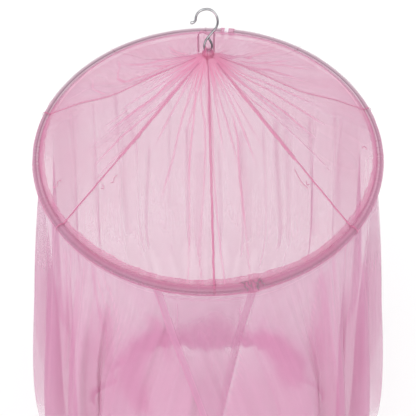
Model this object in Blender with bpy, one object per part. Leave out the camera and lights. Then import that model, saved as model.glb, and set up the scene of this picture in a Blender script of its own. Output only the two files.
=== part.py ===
"""Mosquito net canopy: a wire hook, a gathered net crown, a hoop in its casing and a long net wall.

Heights are measured from the plane of the hoop, and one empty drops the whole canopy so that
the world's origin is the inside of the hook's crown, where the canopy is hung.
"""
import math

import bmesh
import bpy
from mathutils import Vector

# ---- driving sizes, in metres and degrees -------------------------------------------------------
CLOTH = 0.0012             # thickness of every net and tape sheet
GAP = 0.0003               # clearance between neighbouring pieces
SEAM_GAP = 0.0004          # clearance between two panels along their seam

HOOP_RADIUS = 0.300        # to the middle of the tube
TUBE_RADIUS = 0.005
TUBE_SIDES = 8
HOOP_STEPS = 60            # stations round the hoop, shared by all that is bent with it
JOINT_START, JOINT_END = 79.5, 84.5    # the hoop's joint, bare between the casing's ends

WIRE_RADIUS = 0.0015       # hook
HOOK_DROP = 0.243          # from the inside of the hook's crown down to the hoop's plane

CASING_RADIUS = 0.0062     # middle of the casing's cloth round the tube
CASING_SIDES = 10
CASING_TAB = 0.0124        # length of its two flat layers under the tube
CONNECTOR_WALL = 0.0010
CONNECTOR_END_GAP = 0.0006

NECK_RADIUS = 0.009        # the crown's gathered end
NECK_HEIGHT = 0.170
CROWN_SLOPE_END = 0.00755  # from the tube's middle to the crown's lower edge
TAPE_WIDTH = 0.009         # seam tape under the crown's lower edge
TAPE_CLEAR = 0.0004        # more room for tapes where the crown's net bends
BINDING_WIDTH = 0.005      # bindings on the crown's seams
BINDING_START = 0.055      # share of the crown's slope at which they begin
BINDING_WRAP_RADIUS = 0.0079
BINDING_WRAP = (135, 104, 72, 40, 8, -24, -52)  # degrees round the tube, over the casing
TAPE_RAGS = [              # how the seam tape's inner edge wanders round the hoop
    dict(size=0.0012, waves=9, turn=0.0),
    dict(size=0.0009, waves=17, turn=1.0),
]

WALL_LENGTH = 2.10
FOLDS_PER_PANEL = 3
COLUMNS_PER_FOLD = 6
FOLD_DEPTH = 0.055         # what the folds would reach far below the hoop
FOLD_RUN = 0.80            # how slowly they deepen
FOLD_LEAN = 0.22           # share of the depth by which their crests bulge sideways
BELL_FLARE = 0.285         # how fast the wall spreads below the hoop
BELL_REACH, BELL_KNEE = 1.40, 4.0          # how far down it goes on spreading, how soon that ends
HEM_START, HEM_RUN, HEM_DRAW = 1.20, 0.90, 0.12         # how the wall falls in to its hem
TRAIL_START, TRAIL_RUN, TRAIL_REACH = 1.45, 0.65, 0.28  # how it trails forward at the back

# The crown's seams, counter-clockwise. The three in front carry the hoop and are straight, and
# those at the sides and back are slack. sag and wave are at mid length, down and sideways.
SEAMS = [
    dict(azimuth=271.7, sag=0.000, wave=0.0),
    dict(azimuth=318.4, sag=0.001, wave=0.0),
    dict(azimuth=371.3, sag=0.007, wave=1.6),
    dict(azimuth=411.5, sag=0.013, wave=-1.5),
    dict(azimuth=451.0, sag=0.017, wave=1.8),
    dict(azimuth=490.5, sag=0.015, wave=-1.2),
    dict(azimuth=531.0, sag=0.008, wave=-1.8),
    dict(azimuth=580.4, sag=0.001, wave=0.0),
]
# The gores between them: how far each hangs under its seams, and its creases.
GORES = [
    dict(sag=0.006, crease=0.0020),
    dict(sag=0.007, crease=0.0022),
    dict(sag=0.010, crease=0.0030),
    dict(sag=0.014, crease=0.0045),
    dict(sag=0.012, crease=0.0040),
    dict(sag=0.014, crease=0.0042),
    dict(sag=0.010, crease=0.0030),
    dict(sag=0.006, crease=0.0020),
]
# The wall's panels, counter-clockwise from the entrance. depth scales a panel's folds, crowd
# pushes them to one side of it, and hem raises or lowers its lower edge.
PANELS = [
    dict(start=255.2, depth=0.80, crowd=0.10, hem=0.004),
    dict(start=318.4, depth=1.10, crowd=-0.14, hem=-0.005),
    dict(start=371.3, depth=0.92, crowd=0.12, hem=0.003),
    dict(start=411.5, depth=0.84, crowd=-0.10, hem=-0.004),
    dict(start=451.0, depth=0.96, crowd=0.15, hem=0.006),
    dict(start=490.5, depth=0.82, crowd=-0.08, hem=-0.002),
    dict(start=531.0, depth=1.06, crowd=0.12, hem=0.005),
    dict(start=580.4, depth=0.90, crowd=-0.12, hem=-0.003),
]
WALL_END = 642.2           # where the last panel ends, over the first one
FRONT = 270.0
# The entrance's two free edges: where each starts beside the middle, and how it falls aside.
OUTER_EDGE = dict(start=-0.080, travel=0.280, run=1.25)
INNER_EDGE = dict(start=0.072, travel=-0.190, run=1.50)
LAYER_TOP, LAYER_LOW = 0.0009, 0.0080  # half the distance between the entrance's two layers
LAYER_FALL = 0.10                      # depth by which they have come apart
LAYER_FOLDS, LAYER_FADE = 1.5, 1.3     # folds at full distance, and over which it fades
CALM_FOLDS = 2.0                       # folds over which the free edges gain their depth
CROWD_FALL = 0.4                       # depth by which the folds have crowded together

CROWN_ROWS = (0.0, 0.08, 0.20, 0.36, 0.55, 0.78, 1.0)
CROWN_COLUMNS = 10
CREASES_PER_GORE = 2
WALL_ROWS = (0.0, 0.02, 0.06, 0.12, 0.20, 0.32, 0.50, 0.75, 1.10, 1.45, 1.70, 1.92, WALL_LENGTH)

# The hook's wire in its own plane, millimetres from the hoop's axis and plane: from the bead at
# its tip, over the crown, down to the eye and up to the wire's end behind the shank.
HOOK_ROUTE = [
    dict(x=-24.3, z=223.8), dict(x=-20.4, z=224.2), dict(x=-17.3, z=227.6), dict(x=-16.6, z=232.5),
    dict(x=-14.6, z=237.6), dict(x=-10.6, z=241.9), dict(x=-5.0, z=244.3), dict(x=0.8, z=244.4),
    dict(x=6.0, z=242.0), dict(x=10.2, z=237.4), dict(x=12.8, z=230.8), dict(x=13.4, z=223.6),
    dict(x=11.2, z=215.9), dict(x=6.6, z=209.4), dict(x=1.6, z=202.9), dict(x=-2.6, z=197.1),
    dict(x=-4.9, z=191.0), dict(x=-5.2, z=184.8), dict(x=-3.4, z=180.0), dict(x=0.4, z=178.2),
    dict(x=4.2, z=180.0), dict(x=5.9, z=184.8), dict(x=4.5, z=190.6), dict(x=0.9, z=198.2),
]
HOOK_SMOOTH = 2            # samples between two points of the route
WIRE_APART = 0.0018        # the eye's two legs pass this far before and behind the hook's plane
LEAN_START, LEAN_RUN = 13, 4     # indexes in HOOK_ROUTE over which the shank leans forward
SWING_START, SWING_RUN = 18, 3   # and over which the eye swings behind it
BEAD = [                   # the rounded tip: share of the first stretch, and the wire's scale
    dict(share=0.0, scale=0.94), dict(share=0.35, scale=1.25), dict(share=0.8, scale=1.0),
]

BINDING_PROFILE = [        # of the gather's binding, radius and height above the neck
    dict(r=0.0060, z=-0.0040), dict(r=0.0083, z=-0.0010), dict(r=0.0083, z=0.0040),
    dict(r=0.0077, z=0.0085), dict(r=0.0086, z=0.0115), dict(r=0.0064, z=0.0145),
]
BINDING_SIDES = 16

LOOP_ROUTE = [             # the hanging loop's tape, from its left shoulder to its right one
    dict(x=-0.0150, z=0.1990), dict(x=-0.0125, z=0.2042), dict(x=-0.0083, z=0.2070),
    dict(x=0.0000, z=0.2060), dict(x=0.0067, z=0.2024), dict(x=0.0092, z=0.1990),
]
LOOP_NEAR, LOOP_FAR = 0.0050, 0.0130       # the tape's two edges, behind the hook

SHARP_ANGLE = math.radians(50)

NET = dict(color=(0.74, 0.36, 0.50, 1.0), roughness=0.75, metallic=0.0)
TAPE = dict(color=(0.70, 0.28, 0.43, 1.0), roughness=0.80, metallic=0.0)
STEEL = dict(color=(0.72, 0.71, 0.72, 1.0), roughness=0.18, metallic=1.0)
TUBE = dict(color=(0.60, 0.56, 0.59, 1.0), roughness=0.32, metallic=0.9)
PLASTIC = dict(color=(0.86, 0.85, 0.86, 1.0), roughness=0.45, metallic=0.0)


# ---- small helpers ------------------------------------------------------------------------------
def clear_scene():
    for obj in list(bpy.data.objects):
        bpy.data.objects.remove(obj)


def make_material(name, look):
    material = bpy.data.materials.new(name)
    material.use_nodes = True
    shader = material.node_tree.nodes["Principled BSDF"]
    shader.inputs["Base Color"].default_value = look["color"]
    shader.inputs["Roughness"].default_value = look["roughness"]
    shader.inputs["Metallic"].default_value = look["metallic"]
    return material


def add_object(name, data, look, hanger):
    obj = bpy.data.objects.new(name, data)
    data.materials.append(make_material(name, look))
    obj.parent = hanger
    bpy.context.scene.collection.objects.link(obj)
    return obj


def add_mesh(name, points, faces, look, hanger):
    mesh = bpy.data.meshes.new(name)
    mesh.from_pydata(points, [], faces)
    shell = bmesh.new()
    shell.from_mesh(mesh)
    bmesh.ops.recalc_face_normals(shell, faces=shell.faces)
    shell.to_mesh(mesh)
    shell.free()
    mesh.shade_smooth()
    mesh.set_sharp_from_angle(angle=SHARP_ANGLE)
    return add_object(name, mesh, look, hanger)


def mix(a, b, share):
    return a + (b - a) * share


def ease(share):
    share = min(max(share, 0.0), 1.0)
    return share * share * (3 - 2 * share)


def at_azimuth(degrees, radius, height):
    angle = math.radians(degrees)
    return Vector((radius * math.cos(angle), radius * math.sin(angle), height))


def surface_normal(surface, u, v, step=1e-3):
    across = surface(u + step, v) - surface(u - step, v)
    along = surface(u, v + step) - surface(u, v - step)
    return across.cross(along).normalized()


def split_quad(quad, points):
    """Two triangles, parted along the quad's shorter diagonal."""
    a, b, c, d = quad
    if (points[a] - points[c]).length <= (points[b] - points[d]).length:
        return (a, b, c), (a, c, d)
    return (a, b, d), (b, c, d)


def sheet_shell(rows):
    """Points and faces of a closed sheet from rows of (place, normal) in its middle."""
    points = []
    for offset in (CLOTH / 2, -CLOTH / 2):
        points += [place + normal * offset for row in rows for place, normal in row]
    wide, tall = len(rows[0]), len(rows)
    count = wide * tall
    faces = []
    for row in range(tall - 1):
        for col in range(wide - 1):
            a = row * wide + col
            # both sides are parted alike, so that they stay one thickness apart
            for side in split_quad((a, a + 1, a + wide + 1, a + wide), points):
                faces.append(side)
                faces.append(tuple(count + i for i in side[::-1]))
    rim = list(range(wide))
    rim += [row * wide + wide - 1 for row in range(1, tall)]
    rim += [(tall - 1) * wide + col for col in range(wide - 2, -1, -1)]
    rim += [row * wide for row in range(tall - 2, 0, -1)]
    for a, b in zip(rim, rim[1:] + rim[:1]):
        faces.append((b, a, count + a, count + b))
    return points, faces


def hoop_stations():
    """Azimuths round the hoop, from the joint's end on to its start."""
    step = (360 - (JOINT_END - JOINT_START)) / (HOOP_STEPS - 1)
    return [JOINT_END + step * i for i in range(HOOP_STEPS)]


def around_hoop(outline, azimuths):
    """An outline of (outward, up) from the tube's middle, set up at each azimuth."""
    return [[at_azimuth(azimuth, HOOP_RADIUS + out, up) for out, up in outline]
            for azimuth in azimuths]


def join_rings(rings, closed):
    """Points and side faces of a body that runs through equal rings of points."""
    points = [point for ring in rings for point in ring]
    size = len(rings[0])
    faces = []
    for k in range(len(rings) if closed else len(rings) - 1):
        here, there = k * size, (k + 1) % len(rings) * size
        for i in range(size):
            j = (i + 1) % size
            faces.append((here + i, here + j, there + j, there + i))
    return points, faces


def ring_profile(radius, sides):
    turns = [2 * math.pi * i / sides for i in range(sides)]
    return [(radius * math.cos(a), radius * math.sin(a)) for a in turns]


def strip_profile(path, thickness):
    """A band of even thickness along an open path, as one closed outline."""
    left, right = [], []
    for i, (x, y) in enumerate(path):
        before = Vector(path[i]) - Vector(path[i - 1]) if i else None
        after = Vector(path[i + 1]) - Vector(path[i]) if i + 1 < len(path) else None
        ways = [way.normalized() for way in (before, after) if way is not None]
        normals = [Vector((-way.y, way.x)) for way in ways]
        normal = sum(normals, Vector((0.0, 0.0))).normalized()
        reach = thickness / 2 / normal.dot(normals[0])
        left.append((x + normal.x * reach, y + normal.y * reach))
        right.append((x - normal.x * reach, y - normal.y * reach))
    return right + left[::-1]


# ---- hook and gather ----------------------------------------------------------------------------
def hook_points():
    """The wire's middle as (place, radius scale), smooth through the route's points."""
    knots = []
    for i, row in enumerate(HOOK_ROUTE):
        lean = ease((i - LEAN_START) / LEAN_RUN)
        swing = ease((i - SWING_START) / SWING_RUN)
        depth = WIRE_APART * (-lean + 2 * swing)
        knots.append(Vector((row["x"] / 1000, depth, row["z"] / 1000)))
    points = []
    for i in range(len(knots) - 1):
        a, b = knots[max(i - 1, 0)], knots[i]
        c, d = knots[i + 1], knots[min(i + 2, len(knots) - 1)]
        for step in range(HOOK_SMOOTH):
            t = step / HOOK_SMOOTH
            place = 0.5 * (2 * b + (c - a) * t + (2 * a - 5 * b + 4 * c - d) * t * t
                           + (3 * b - a - 3 * c + d) * t * t * t)
            points.append((place, 1.0))
    points.append((knots[-1], 1.0))
    tip, after = points[0][0], points[1][0]
    bead = [(mix(tip, after, row["share"]), row["scale"]) for row in BEAD]
    return bead + points[2:]


def wire_curve(name, radius):
    curve = bpy.data.curves.new(name, "CURVE")
    curve.dimensions = "3D"
    curve.bevel_depth = radius
    curve.bevel_resolution = 2
    curve.use_fill_caps = True
    points = hook_points()
    spline = curve.splines.new("POLY")
    spline.points.add(len(points) - 1)
    for point, (place, scale) in zip(spline.points, points):
        point.co = (*place, 1.0)
        point.radius = scale
    return curve


def build_hook(hanger):
    return add_object("hook", wire_curve("hook", WIRE_RADIUS), STEEL, hanger)


def build_gather_binding(hanger):
    """The thread-wound gather, turned solid, with the hook's eye let into it."""
    points, faces = [], []
    for row in BINDING_PROFILE:
        for i in range(BINDING_SIDES):
            points.append(at_azimuth(360 * i / BINDING_SIDES, row["r"], NECK_HEIGHT + row["z"]))
    for k in range(len(BINDING_PROFILE) - 1):
        for i in range(BINDING_SIDES):
            j = (i + 1) % BINDING_SIDES
            low, high = k * BINDING_SIDES, (k + 1) * BINDING_SIDES
            faces.append((low + i, low + j, high + j, high + i))
    faces.append(tuple(range(BINDING_SIDES - 1, -1, -1)))
    top = (len(BINDING_PROFILE) - 1) * BINDING_SIDES
    faces.append(tuple(top + i for i in range(BINDING_SIDES)))
    binding = add_mesh("gather_binding", points, faces, TAPE, hanger)

    cutter_curve = bpy.data.objects.new("eye_path", wire_curve("eye_path", WIRE_RADIUS + GAP))
    bpy.context.scene.collection.objects.link(cutter_curve)
    bpy.context.view_layer.update()
    depsgraph = bpy.context.evaluated_depsgraph_get()
    cutter_mesh = bpy.data.meshes.new_from_object(cutter_curve.evaluated_get(depsgraph))
    bpy.data.objects.remove(cutter_curve)
    cutter = bpy.data.objects.new("eye_cutter", cutter_mesh)
    cutter.parent = hanger
    cutter.hide_render = True
    cutter.display_type = "WIRE"
    bpy.context.scene.collection.objects.link(cutter)
    cut = binding.modifiers.new("eye", "BOOLEAN")
    cut.operation = "DIFFERENCE"
    cut.object = cutter
    return binding


def loop_foot(x):
    """Height at which a foot of the loop stands on the crown's net."""
    reach = math.hypot(x, LOOP_NEAR)
    share = (reach - NECK_RADIUS) / (crown_rim()[0] - NECK_RADIUS)
    return mix(NECK_HEIGHT, crown_rim()[1], share) + CLOTH + 2 * GAP


def build_hanging_loop(hanger):
    """A tape loop that stands up from the gather, with its two feet on the crown."""
    path = [(row["x"], row["z"]) for row in LOOP_ROUTE]
    for end in (0, -1):
        x, shoulder = path[end]
        leg = [(x, loop_foot(x)), (x, mix(loop_foot(x), shoulder, 0.5))]
        path = leg + path if end == 0 else path + leg[::-1]
    outline = strip_profile(path, CLOTH)
    count = len(outline)
    points = [Vector((x, LOOP_NEAR, z)) for x, z in outline]
    points += [Vector((x, LOOP_FAR, z)) for x, z in outline]
    half = len(path)
    faces = []
    for i in range(half - 1):
        a, b, c, d = i, i + 1, count - 2 - i, count - 1 - i
        faces.append((a, b, c, d))
        faces.append((count + d, count + c, count + b, count + a))
    for i in range(count):
        j = (i + 1) % count
        faces.append((j, i, count + i, count + j))
    return add_mesh("hanging_loop", points, faces, TAPE, hanger)


# ---- crown --------------------------------------------------------------------------------------
def crown_rim():
    """Radius and height of the crown's lower edge, aimed at the tube's middle."""
    slope = math.atan2(NECK_HEIGHT, HOOP_RADIUS - NECK_RADIUS)
    return (HOOP_RADIUS - CROWN_SLOPE_END * math.cos(slope), CROWN_SLOPE_END * math.sin(slope))


def seam(index):
    row = dict(SEAMS[index % len(SEAMS)])
    row["azimuth"] += 360 * (index // len(SEAMS))
    return row


def crown_point(across, down):
    """The crown's net: across counts gores from the front seam, down runs from neck to hoop."""
    index = math.floor(across)
    share = across - index
    left, right, gore = seam(index), seam(index + 1), GORES[index % len(GORES)]
    blend = ease(share)
    rim_radius, rim_height = crown_rim()
    belly = math.sin(math.pi * min(max(down, 0.0), 1.0))
    wave = mix(left["wave"], right["wave"], blend) * math.sin(3 * math.pi * down) * belly
    between = math.sin(math.pi * min(max(share, 0.0), 1.0))
    sag = (mix(left["sag"], right["sag"], blend) + gore["sag"] * between) * belly
    crease = gore["crease"] * math.cos(2 * math.pi * CREASES_PER_GORE * share)
    sag += crease * between * belly
    azimuth = mix(left["azimuth"], right["azimuth"], share) + wave
    radius = mix(NECK_RADIUS, rim_radius, down)
    return at_azimuth(azimuth, radius, mix(NECK_HEIGHT, rim_height, down) - sag)


def gore_width(index, radius):
    return math.radians(seam(index + 1)["azimuth"] - seam(index)["azimuth"]) * radius


def build_gore(index, hanger):
    rows = []
    for down in CROWN_ROWS:
        # each gore stops short of its seams by half their gap
        inset = SEAM_GAP / 2 / gore_width(index, mix(NECK_RADIUS, crown_rim()[0], down))
        row = []
        for column in range(CROWN_COLUMNS + 1):
            turn = column / CROWN_COLUMNS
            place = crown_point(index + mix(inset, 1 - inset, turn), down)
            row.append((place, surface_normal(crown_point, index + turn, down)))
        rows.append(row)
    points, faces = sheet_shell(rows)
    return add_mesh(f"crown_gore_{index + 1}", points, faces, NET, hanger)


def build_seam_binding(index, hanger):
    """A folded tape on a seam of the crown, carried over the casing to its tab."""
    rows = []
    for down in [BINDING_START] + [row for row in CROWN_ROWS if row > BINDING_START]:
        radius = mix(NECK_RADIUS, crown_rim()[0], down)
        up = -surface_normal(crown_point, index, down)
        row = []
        for side in (-1, 0, 1):
            gore = index if side >= 0 else index - 1
            across = index + side * BINDING_WIDTH / 2 / gore_width(gore, radius)
            row.append((crown_point(across, down) + up * (CLOTH + GAP + TAPE_CLEAR), up))
        rows.append(row)
    azimuth = seam(index)["azimuth"]
    for angle in BINDING_WRAP:
        row = []
        for side in (-1, 0, 1):
            turned = azimuth + math.degrees(side * BINDING_WIDTH / 2 / HOOP_RADIUS)
            middle = at_azimuth(turned, HOOP_RADIUS, 0.0)
            away = at_azimuth(turned, math.cos(math.radians(angle)), math.sin(math.radians(angle)))
            row.append((middle + away * BINDING_WRAP_RADIUS, away))
        rows.append(row)
    points, faces = sheet_shell(rows)
    return add_mesh(f"seam_binding_{index + 1}", points, faces, TAPE, hanger)


# ---- hoop, casing and tape ----------------------------------------------------------------------
def build_hoop(hanger):
    rings = around_hoop(ring_profile(TUBE_RADIUS, TUBE_SIDES), hoop_stations())
    points, faces = join_rings(rings, closed=True)
    return add_mesh("hoop", points, faces, TUBE, hanger)


def build_connector(hanger):
    """The white sleeve over the hoop's joint: two rings joined at both ends."""
    end_gap = math.degrees(CONNECTOR_END_GAP / HOOP_RADIUS)
    ends = (JOINT_START + end_gap, JOINT_END - end_gap)
    sides = TUBE_SIDES
    middle = (JOINT_START + JOINT_END) / 2
    chord = HOOP_RADIUS * math.cos(math.radians(JOINT_END - JOINT_START) / 2)
    points = []
    for radius in (TUBE_RADIUS + GAP, TUBE_RADIUS + GAP + CONNECTOR_WALL):
        for azimuth in ends:
            # the tube is straight between its two stations here, and so is the sleeve
            reach = chord / math.cos(math.radians(azimuth - middle))
            for out, up in ring_profile(radius, sides):
                flat = out / math.cos(math.radians(azimuth - middle))
                points.append(at_azimuth(azimuth, reach + flat, up))
    faces = []
    for i in range(sides):
        j = (i + 1) % sides
        inner_a, inner_b, outer_a, outer_b = 0, sides, 2 * sides, 3 * sides
        faces.append((inner_a + i, inner_a + j, inner_b + j, inner_b + i))
        faces.append((outer_a + j, outer_a + i, outer_b + i, outer_b + j))
        faces.append((inner_a + j, inner_a + i, outer_a + i, outer_a + j))
        faces.append((inner_b + i, inner_b + j, outer_b + j, outer_b + i))
    return add_mesh("hoop_connector", points, faces, PLASTIC, hanger)


def casing_path():
    """Middle of the casing's cloth: up one side of the tab, round the tube and down again."""
    half = (CLOTH + GAP) / 2
    lead = math.asin(half / CASING_RADIUS)
    first, last = -math.pi / 2 + lead, 1.5 * math.pi - lead
    turns = [mix(first, last, i / CASING_SIDES) for i in range(CASING_SIDES + 1)]
    loop = [(CASING_RADIUS * math.cos(a), CASING_RADIUS * math.sin(a)) for a in turns]
    low = -CASING_RADIUS - CASING_TAB
    return [(half, low)] + loop + [(-half, low)]


def build_casing(hanger):
    outline = strip_profile(casing_path(), CLOTH)
    points, faces = join_rings(around_hoop(outline, hoop_stations()), closed=False)
    # each end is a bent band, closed by quads across it
    size, end = len(outline), (HOOP_STEPS - 1) * len(outline)
    for i in range(size // 2 - 1):
        quad = (i, i + 1, size - 2 - i, size - 1 - i)
        faces.append(quad)
        faces.append(tuple(end + k for k in quad[::-1]))
    return add_mesh("hoop_casing", points, faces, NET, hanger)


def build_seam_tape(hanger):
    """The ragged seam allowance inside the hoop, just under the crown's lower edge."""
    length = crown_rim()[0] - NECK_RADIUS
    rings = []
    for column in range(len(GORES) * CROWN_COLUMNS):
        across = column / CROWN_COLUMNS
        angle = math.tau * column / (len(GORES) * CROWN_COLUMNS)
        ragged = sum(rag["size"] * math.sin(rag["waves"] * angle + rag["turn"])
                     for rag in TAPE_RAGS)
        ring = []
        for down, side in ((1, 1), (1, -1), (0, -1), (0, 1)):
            place = 1.0 if down else 1.0 - (TAPE_WIDTH + ragged) / length
            normal = surface_normal(crown_point, across, place)
            drop = CLOTH + GAP + TAPE_CLEAR + side * CLOTH / 2
            ring.append(crown_point(across, place) + normal * drop)
        rings.append(ring)
    points, faces = join_rings(rings, closed=True)
    return add_mesh("crown_seam_tape", points, faces, TAPE, hanger)


# ---- wall ---------------------------------------------------------------------------------------
def wall_top():
    """Height of the wall's upper edge, just under the casing's tab."""
    return -(CASING_RADIUS + CASING_TAB + GAP)


def bell_radius(depth):
    """How far the wall's middle stands out: it spreads like a cone, then falls in to its hem."""
    spread = BELL_REACH * (-math.expm1(-(depth / BELL_REACH) ** BELL_KNEE)) ** (1 / BELL_KNEE)
    return HOOP_RADIUS + BELL_FLARE * spread - HEM_DRAW * ease((depth - HEM_START) / HEM_RUN)


def edge_azimuth(edge, depth):
    aside = edge["start"] + edge["travel"] * (1 - math.exp(-depth / edge["run"]))
    return FRONT + math.degrees(math.asin(aside / bell_radius(depth)))


def wall_point(fold, depth):
    """The wall's net: fold counts folds from the outer free edge, depth runs down from the hoop."""
    folds = FOLDS_PER_PANEL * len(PANELS)
    index = min(max(int(fold // FOLDS_PER_PANEL), 0), len(PANELS) - 1)
    panel = PANELS[index]
    share = fold / FOLDS_PER_PANEL - index
    left = panel["start"] if index else edge_azimuth(OUTER_EDGE, depth)
    right = (PANELS[index + 1]["start"] if index + 1 < len(PANELS)
             else edge_azimuth(INNER_EDGE, depth) + 360)
    share += panel["crowd"] * math.sin(math.pi * share) ** 2 * ease(depth / CROWD_FALL)

    from_outer, from_inner = fold, folds - fold
    calm = ease(min(from_outer, from_inner) / CALM_FOLDS)
    ripple = FOLD_DEPTH * (1 - math.exp(-depth / FOLD_RUN)) * panel_depth(fold) * calm
    layer = mix(LAYER_TOP, LAYER_LOW, ease(depth / LAYER_FALL))
    layer *= (ease((from_inner - LAYER_FOLDS) / LAYER_FADE)
              - ease((from_outer - LAYER_FOLDS) / LAYER_FADE))

    radius = bell_radius(depth) + layer - ripple * math.cos(2 * math.pi * fold)
    lean = -math.degrees(FOLD_LEAN * ripple / radius) * math.sin(2 * math.pi * fold)
    low = panel["hem"] * math.sin(math.pi * share) ** 2 * ease(depth / WALL_LENGTH)
    azimuth = mix(left, right, share) + lean
    backward = max(math.sin(math.radians(azimuth)), 0.0)
    radius -= TRAIL_REACH * ease((depth - TRAIL_START) / TRAIL_RUN) * backward ** 2
    return at_azimuth(azimuth, radius, wall_top() - depth + low)


def panel_depth(fold):
    """The folds' depth, even across each seam between two panels."""
    place = fold / FOLDS_PER_PANEL - 0.5
    index = math.floor(place)
    here = PANELS[min(max(index, 0), len(PANELS) - 1)]["depth"]
    there = PANELS[min(max(index + 1, 0), len(PANELS) - 1)]["depth"]
    return mix(here, there, ease(place - index))


def build_wall_panel(index, hanger):
    columns = FOLDS_PER_PANEL * COLUMNS_PER_FOLD
    first_fold = index * FOLDS_PER_PANEL
    rows = []
    for depth in WALL_ROWS:
        fold_width = math.tau * bell_radius(depth) / (FOLDS_PER_PANEL * len(PANELS))
        inset = SEAM_GAP / 2 / fold_width
        row = []
        for column in range(columns + 1):
            fold = first_fold + column / COLUMNS_PER_FOLD
            shift = inset if column == 0 else -inset if column == columns else 0.0
            place = wall_point(fold + shift, depth)
            row.append((place, surface_normal(wall_point, fold, depth)))
        rows.append(row)
    points, faces = sheet_shell(rows)
    return add_mesh(f"wall_panel_{index + 1}", points, faces, NET, hanger)


# ---- assembly -----------------------------------------------------------------------------------
def main():
    clear_scene()
    hanger = bpy.data.objects.new("canopy", None)
    hanger.location = (0.0, 0.0, -HOOK_DROP)
    bpy.context.scene.collection.objects.link(hanger)
    build_hook(hanger)
    build_gather_binding(hanger)
    build_hanging_loop(hanger)
    for index in range(len(GORES)):
        build_gore(index, hanger)
    for index in range(len(SEAMS)):
        build_seam_binding(index, hanger)
    build_hoop(hanger)
    build_connector(hanger)
    build_casing(hanger)
    build_seam_tape(hanger)
    for index in range(len(PANELS)):
        build_wall_panel(index, hanger)


main()
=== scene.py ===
# %% [markdown]
# # A mosquito net canopy
#
# A bed canopy is a light net that hangs from one hook. A hoop holds it open under a cone of
# net, the crown, and from the hoop a long wall of net falls in folds to the floor. Almost all
# of it is see-through, so its look comes from how many layers of net lie behind each other.
#
# This lesson loads the hard model of the canopy as a frame, and dresses it piece by piece in
# the same metres. Heights below are counted from the plane of the hoop.

# %% Load the frame
import math

import bpy
import numpy as np
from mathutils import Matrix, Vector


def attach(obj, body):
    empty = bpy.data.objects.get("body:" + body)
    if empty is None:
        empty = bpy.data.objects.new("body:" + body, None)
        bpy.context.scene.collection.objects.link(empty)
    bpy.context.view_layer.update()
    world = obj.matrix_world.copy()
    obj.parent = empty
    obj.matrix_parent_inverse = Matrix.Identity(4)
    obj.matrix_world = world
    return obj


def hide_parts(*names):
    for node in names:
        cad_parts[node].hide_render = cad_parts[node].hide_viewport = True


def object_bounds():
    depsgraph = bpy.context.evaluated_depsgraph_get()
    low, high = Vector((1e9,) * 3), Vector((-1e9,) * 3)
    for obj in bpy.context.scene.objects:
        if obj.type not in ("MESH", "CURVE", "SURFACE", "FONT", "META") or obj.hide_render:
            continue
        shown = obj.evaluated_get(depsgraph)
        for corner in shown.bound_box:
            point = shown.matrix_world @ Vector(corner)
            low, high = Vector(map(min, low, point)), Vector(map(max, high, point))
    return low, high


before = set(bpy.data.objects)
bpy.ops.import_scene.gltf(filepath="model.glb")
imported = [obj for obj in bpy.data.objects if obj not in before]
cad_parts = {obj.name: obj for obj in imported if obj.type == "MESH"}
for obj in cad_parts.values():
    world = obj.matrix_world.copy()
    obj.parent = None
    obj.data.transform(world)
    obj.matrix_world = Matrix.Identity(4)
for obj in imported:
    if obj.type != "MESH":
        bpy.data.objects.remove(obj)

cad_box = [[float(x) for x in corner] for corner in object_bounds()]
print("hard model, lowest and highest corner:", cad_box)

# %% [markdown]
# ## Camera
#
# The canopy is looked at from above its front, as if from a ladder: the hoop is an oval and
# the wall falls away below it. The camera has an ordinary lens and stands about an arm's
# length away, so the near rim looks larger than the far one.

# %% Camera
LENS, SENSOR_WIDTH = 40.265, 36.0          # millimetres
CAMERA_PLACE = (0.0, -0.5725, 0.3717)
CAMERA_TILT = 33.978                       # degrees away from looking straight down

scene = bpy.context.scene
camera_data = bpy.data.cameras.new("camera")
camera_data.lens = LENS
camera_data.sensor_width = SENSOR_WIDTH
camera = bpy.data.objects.new("camera", camera_data)
camera.location = CAMERA_PLACE
camera.rotation_euler = (math.radians(CAMERA_TILT), 0.0, 0.0)
scene.collection.objects.link(camera)
scene.camera = camera
print("camera", tuple(round(x, 4) for x in camera.location), "lens", camera_data.lens)

# %% [markdown]
# ## Shader maths
#
# A material's values are sockets on nodes. To write sums in plain Python, a small class wraps
# a socket and lets the usual operators add the Math nodes. One function makes any other node:
# it sets the node's options first, and then links or fills its sockets.

# %% A value that can be reckoned with
def sign(operation, turned=False):
    """The method behind a sign between two values; turned where this one stands second."""
    def method(self, other):
        first, second = (other, self) if turned else (self, other)
        return self.reckon(operation, first, second)
    return method


class Value:
    """A socket on its way through a material, with ordinary sums."""

    def __init__(self, socket):
        self.socket = socket

    def reckon(self, operation, first, second=0.0, clamp=False):
        """One Math node between two values, of which this one is either."""
        settings = dict(operation=operation, use_clamp=clamp)
        return add_node(self.socket.id_data, "ShaderNodeMath", settings, {0: first, 1: second})

    __add__, __radd__ = sign("ADD"), sign("ADD", turned=True)
    __sub__, __rsub__ = sign("SUBTRACT"), sign("SUBTRACT", turned=True)
    __mul__, __rmul__ = sign("MULTIPLY"), sign("MULTIPLY", turned=True)
    __truediv__, __rpow__ = sign("DIVIDE"), sign("POWER", turned=True)

    def least(self, other):
        """The value, but not less than the other."""
        return self.reckon("MAXIMUM", self, other)

    def wave(self):
        return self.reckon("SINE", self)

    def size(self):
        return self.reckon("ABSOLUTE", self)

    def kept(self):
        """The value held between 0 and 1."""
        return self.reckon("ADD", self, 0.0, clamp=True)


def add_node(tree, kind, settings=None, sockets=None, out=0):
    """A node with its options set and its sockets linked or filled, as the value it gives."""
    node = tree.nodes.new(kind)
    for name, value in (settings or {}).items():
        if name == "stops":
            set_stops(node.color_ramp, value)
        else:
            setattr(node, name, value)
    for key, value in (sockets or {}).items():
        if isinstance(value, Value):
            tree.links.new(value.socket, node.inputs[key])
        else:
            node.inputs[key].default_value = value
    return Value(node.outputs[out])


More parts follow.
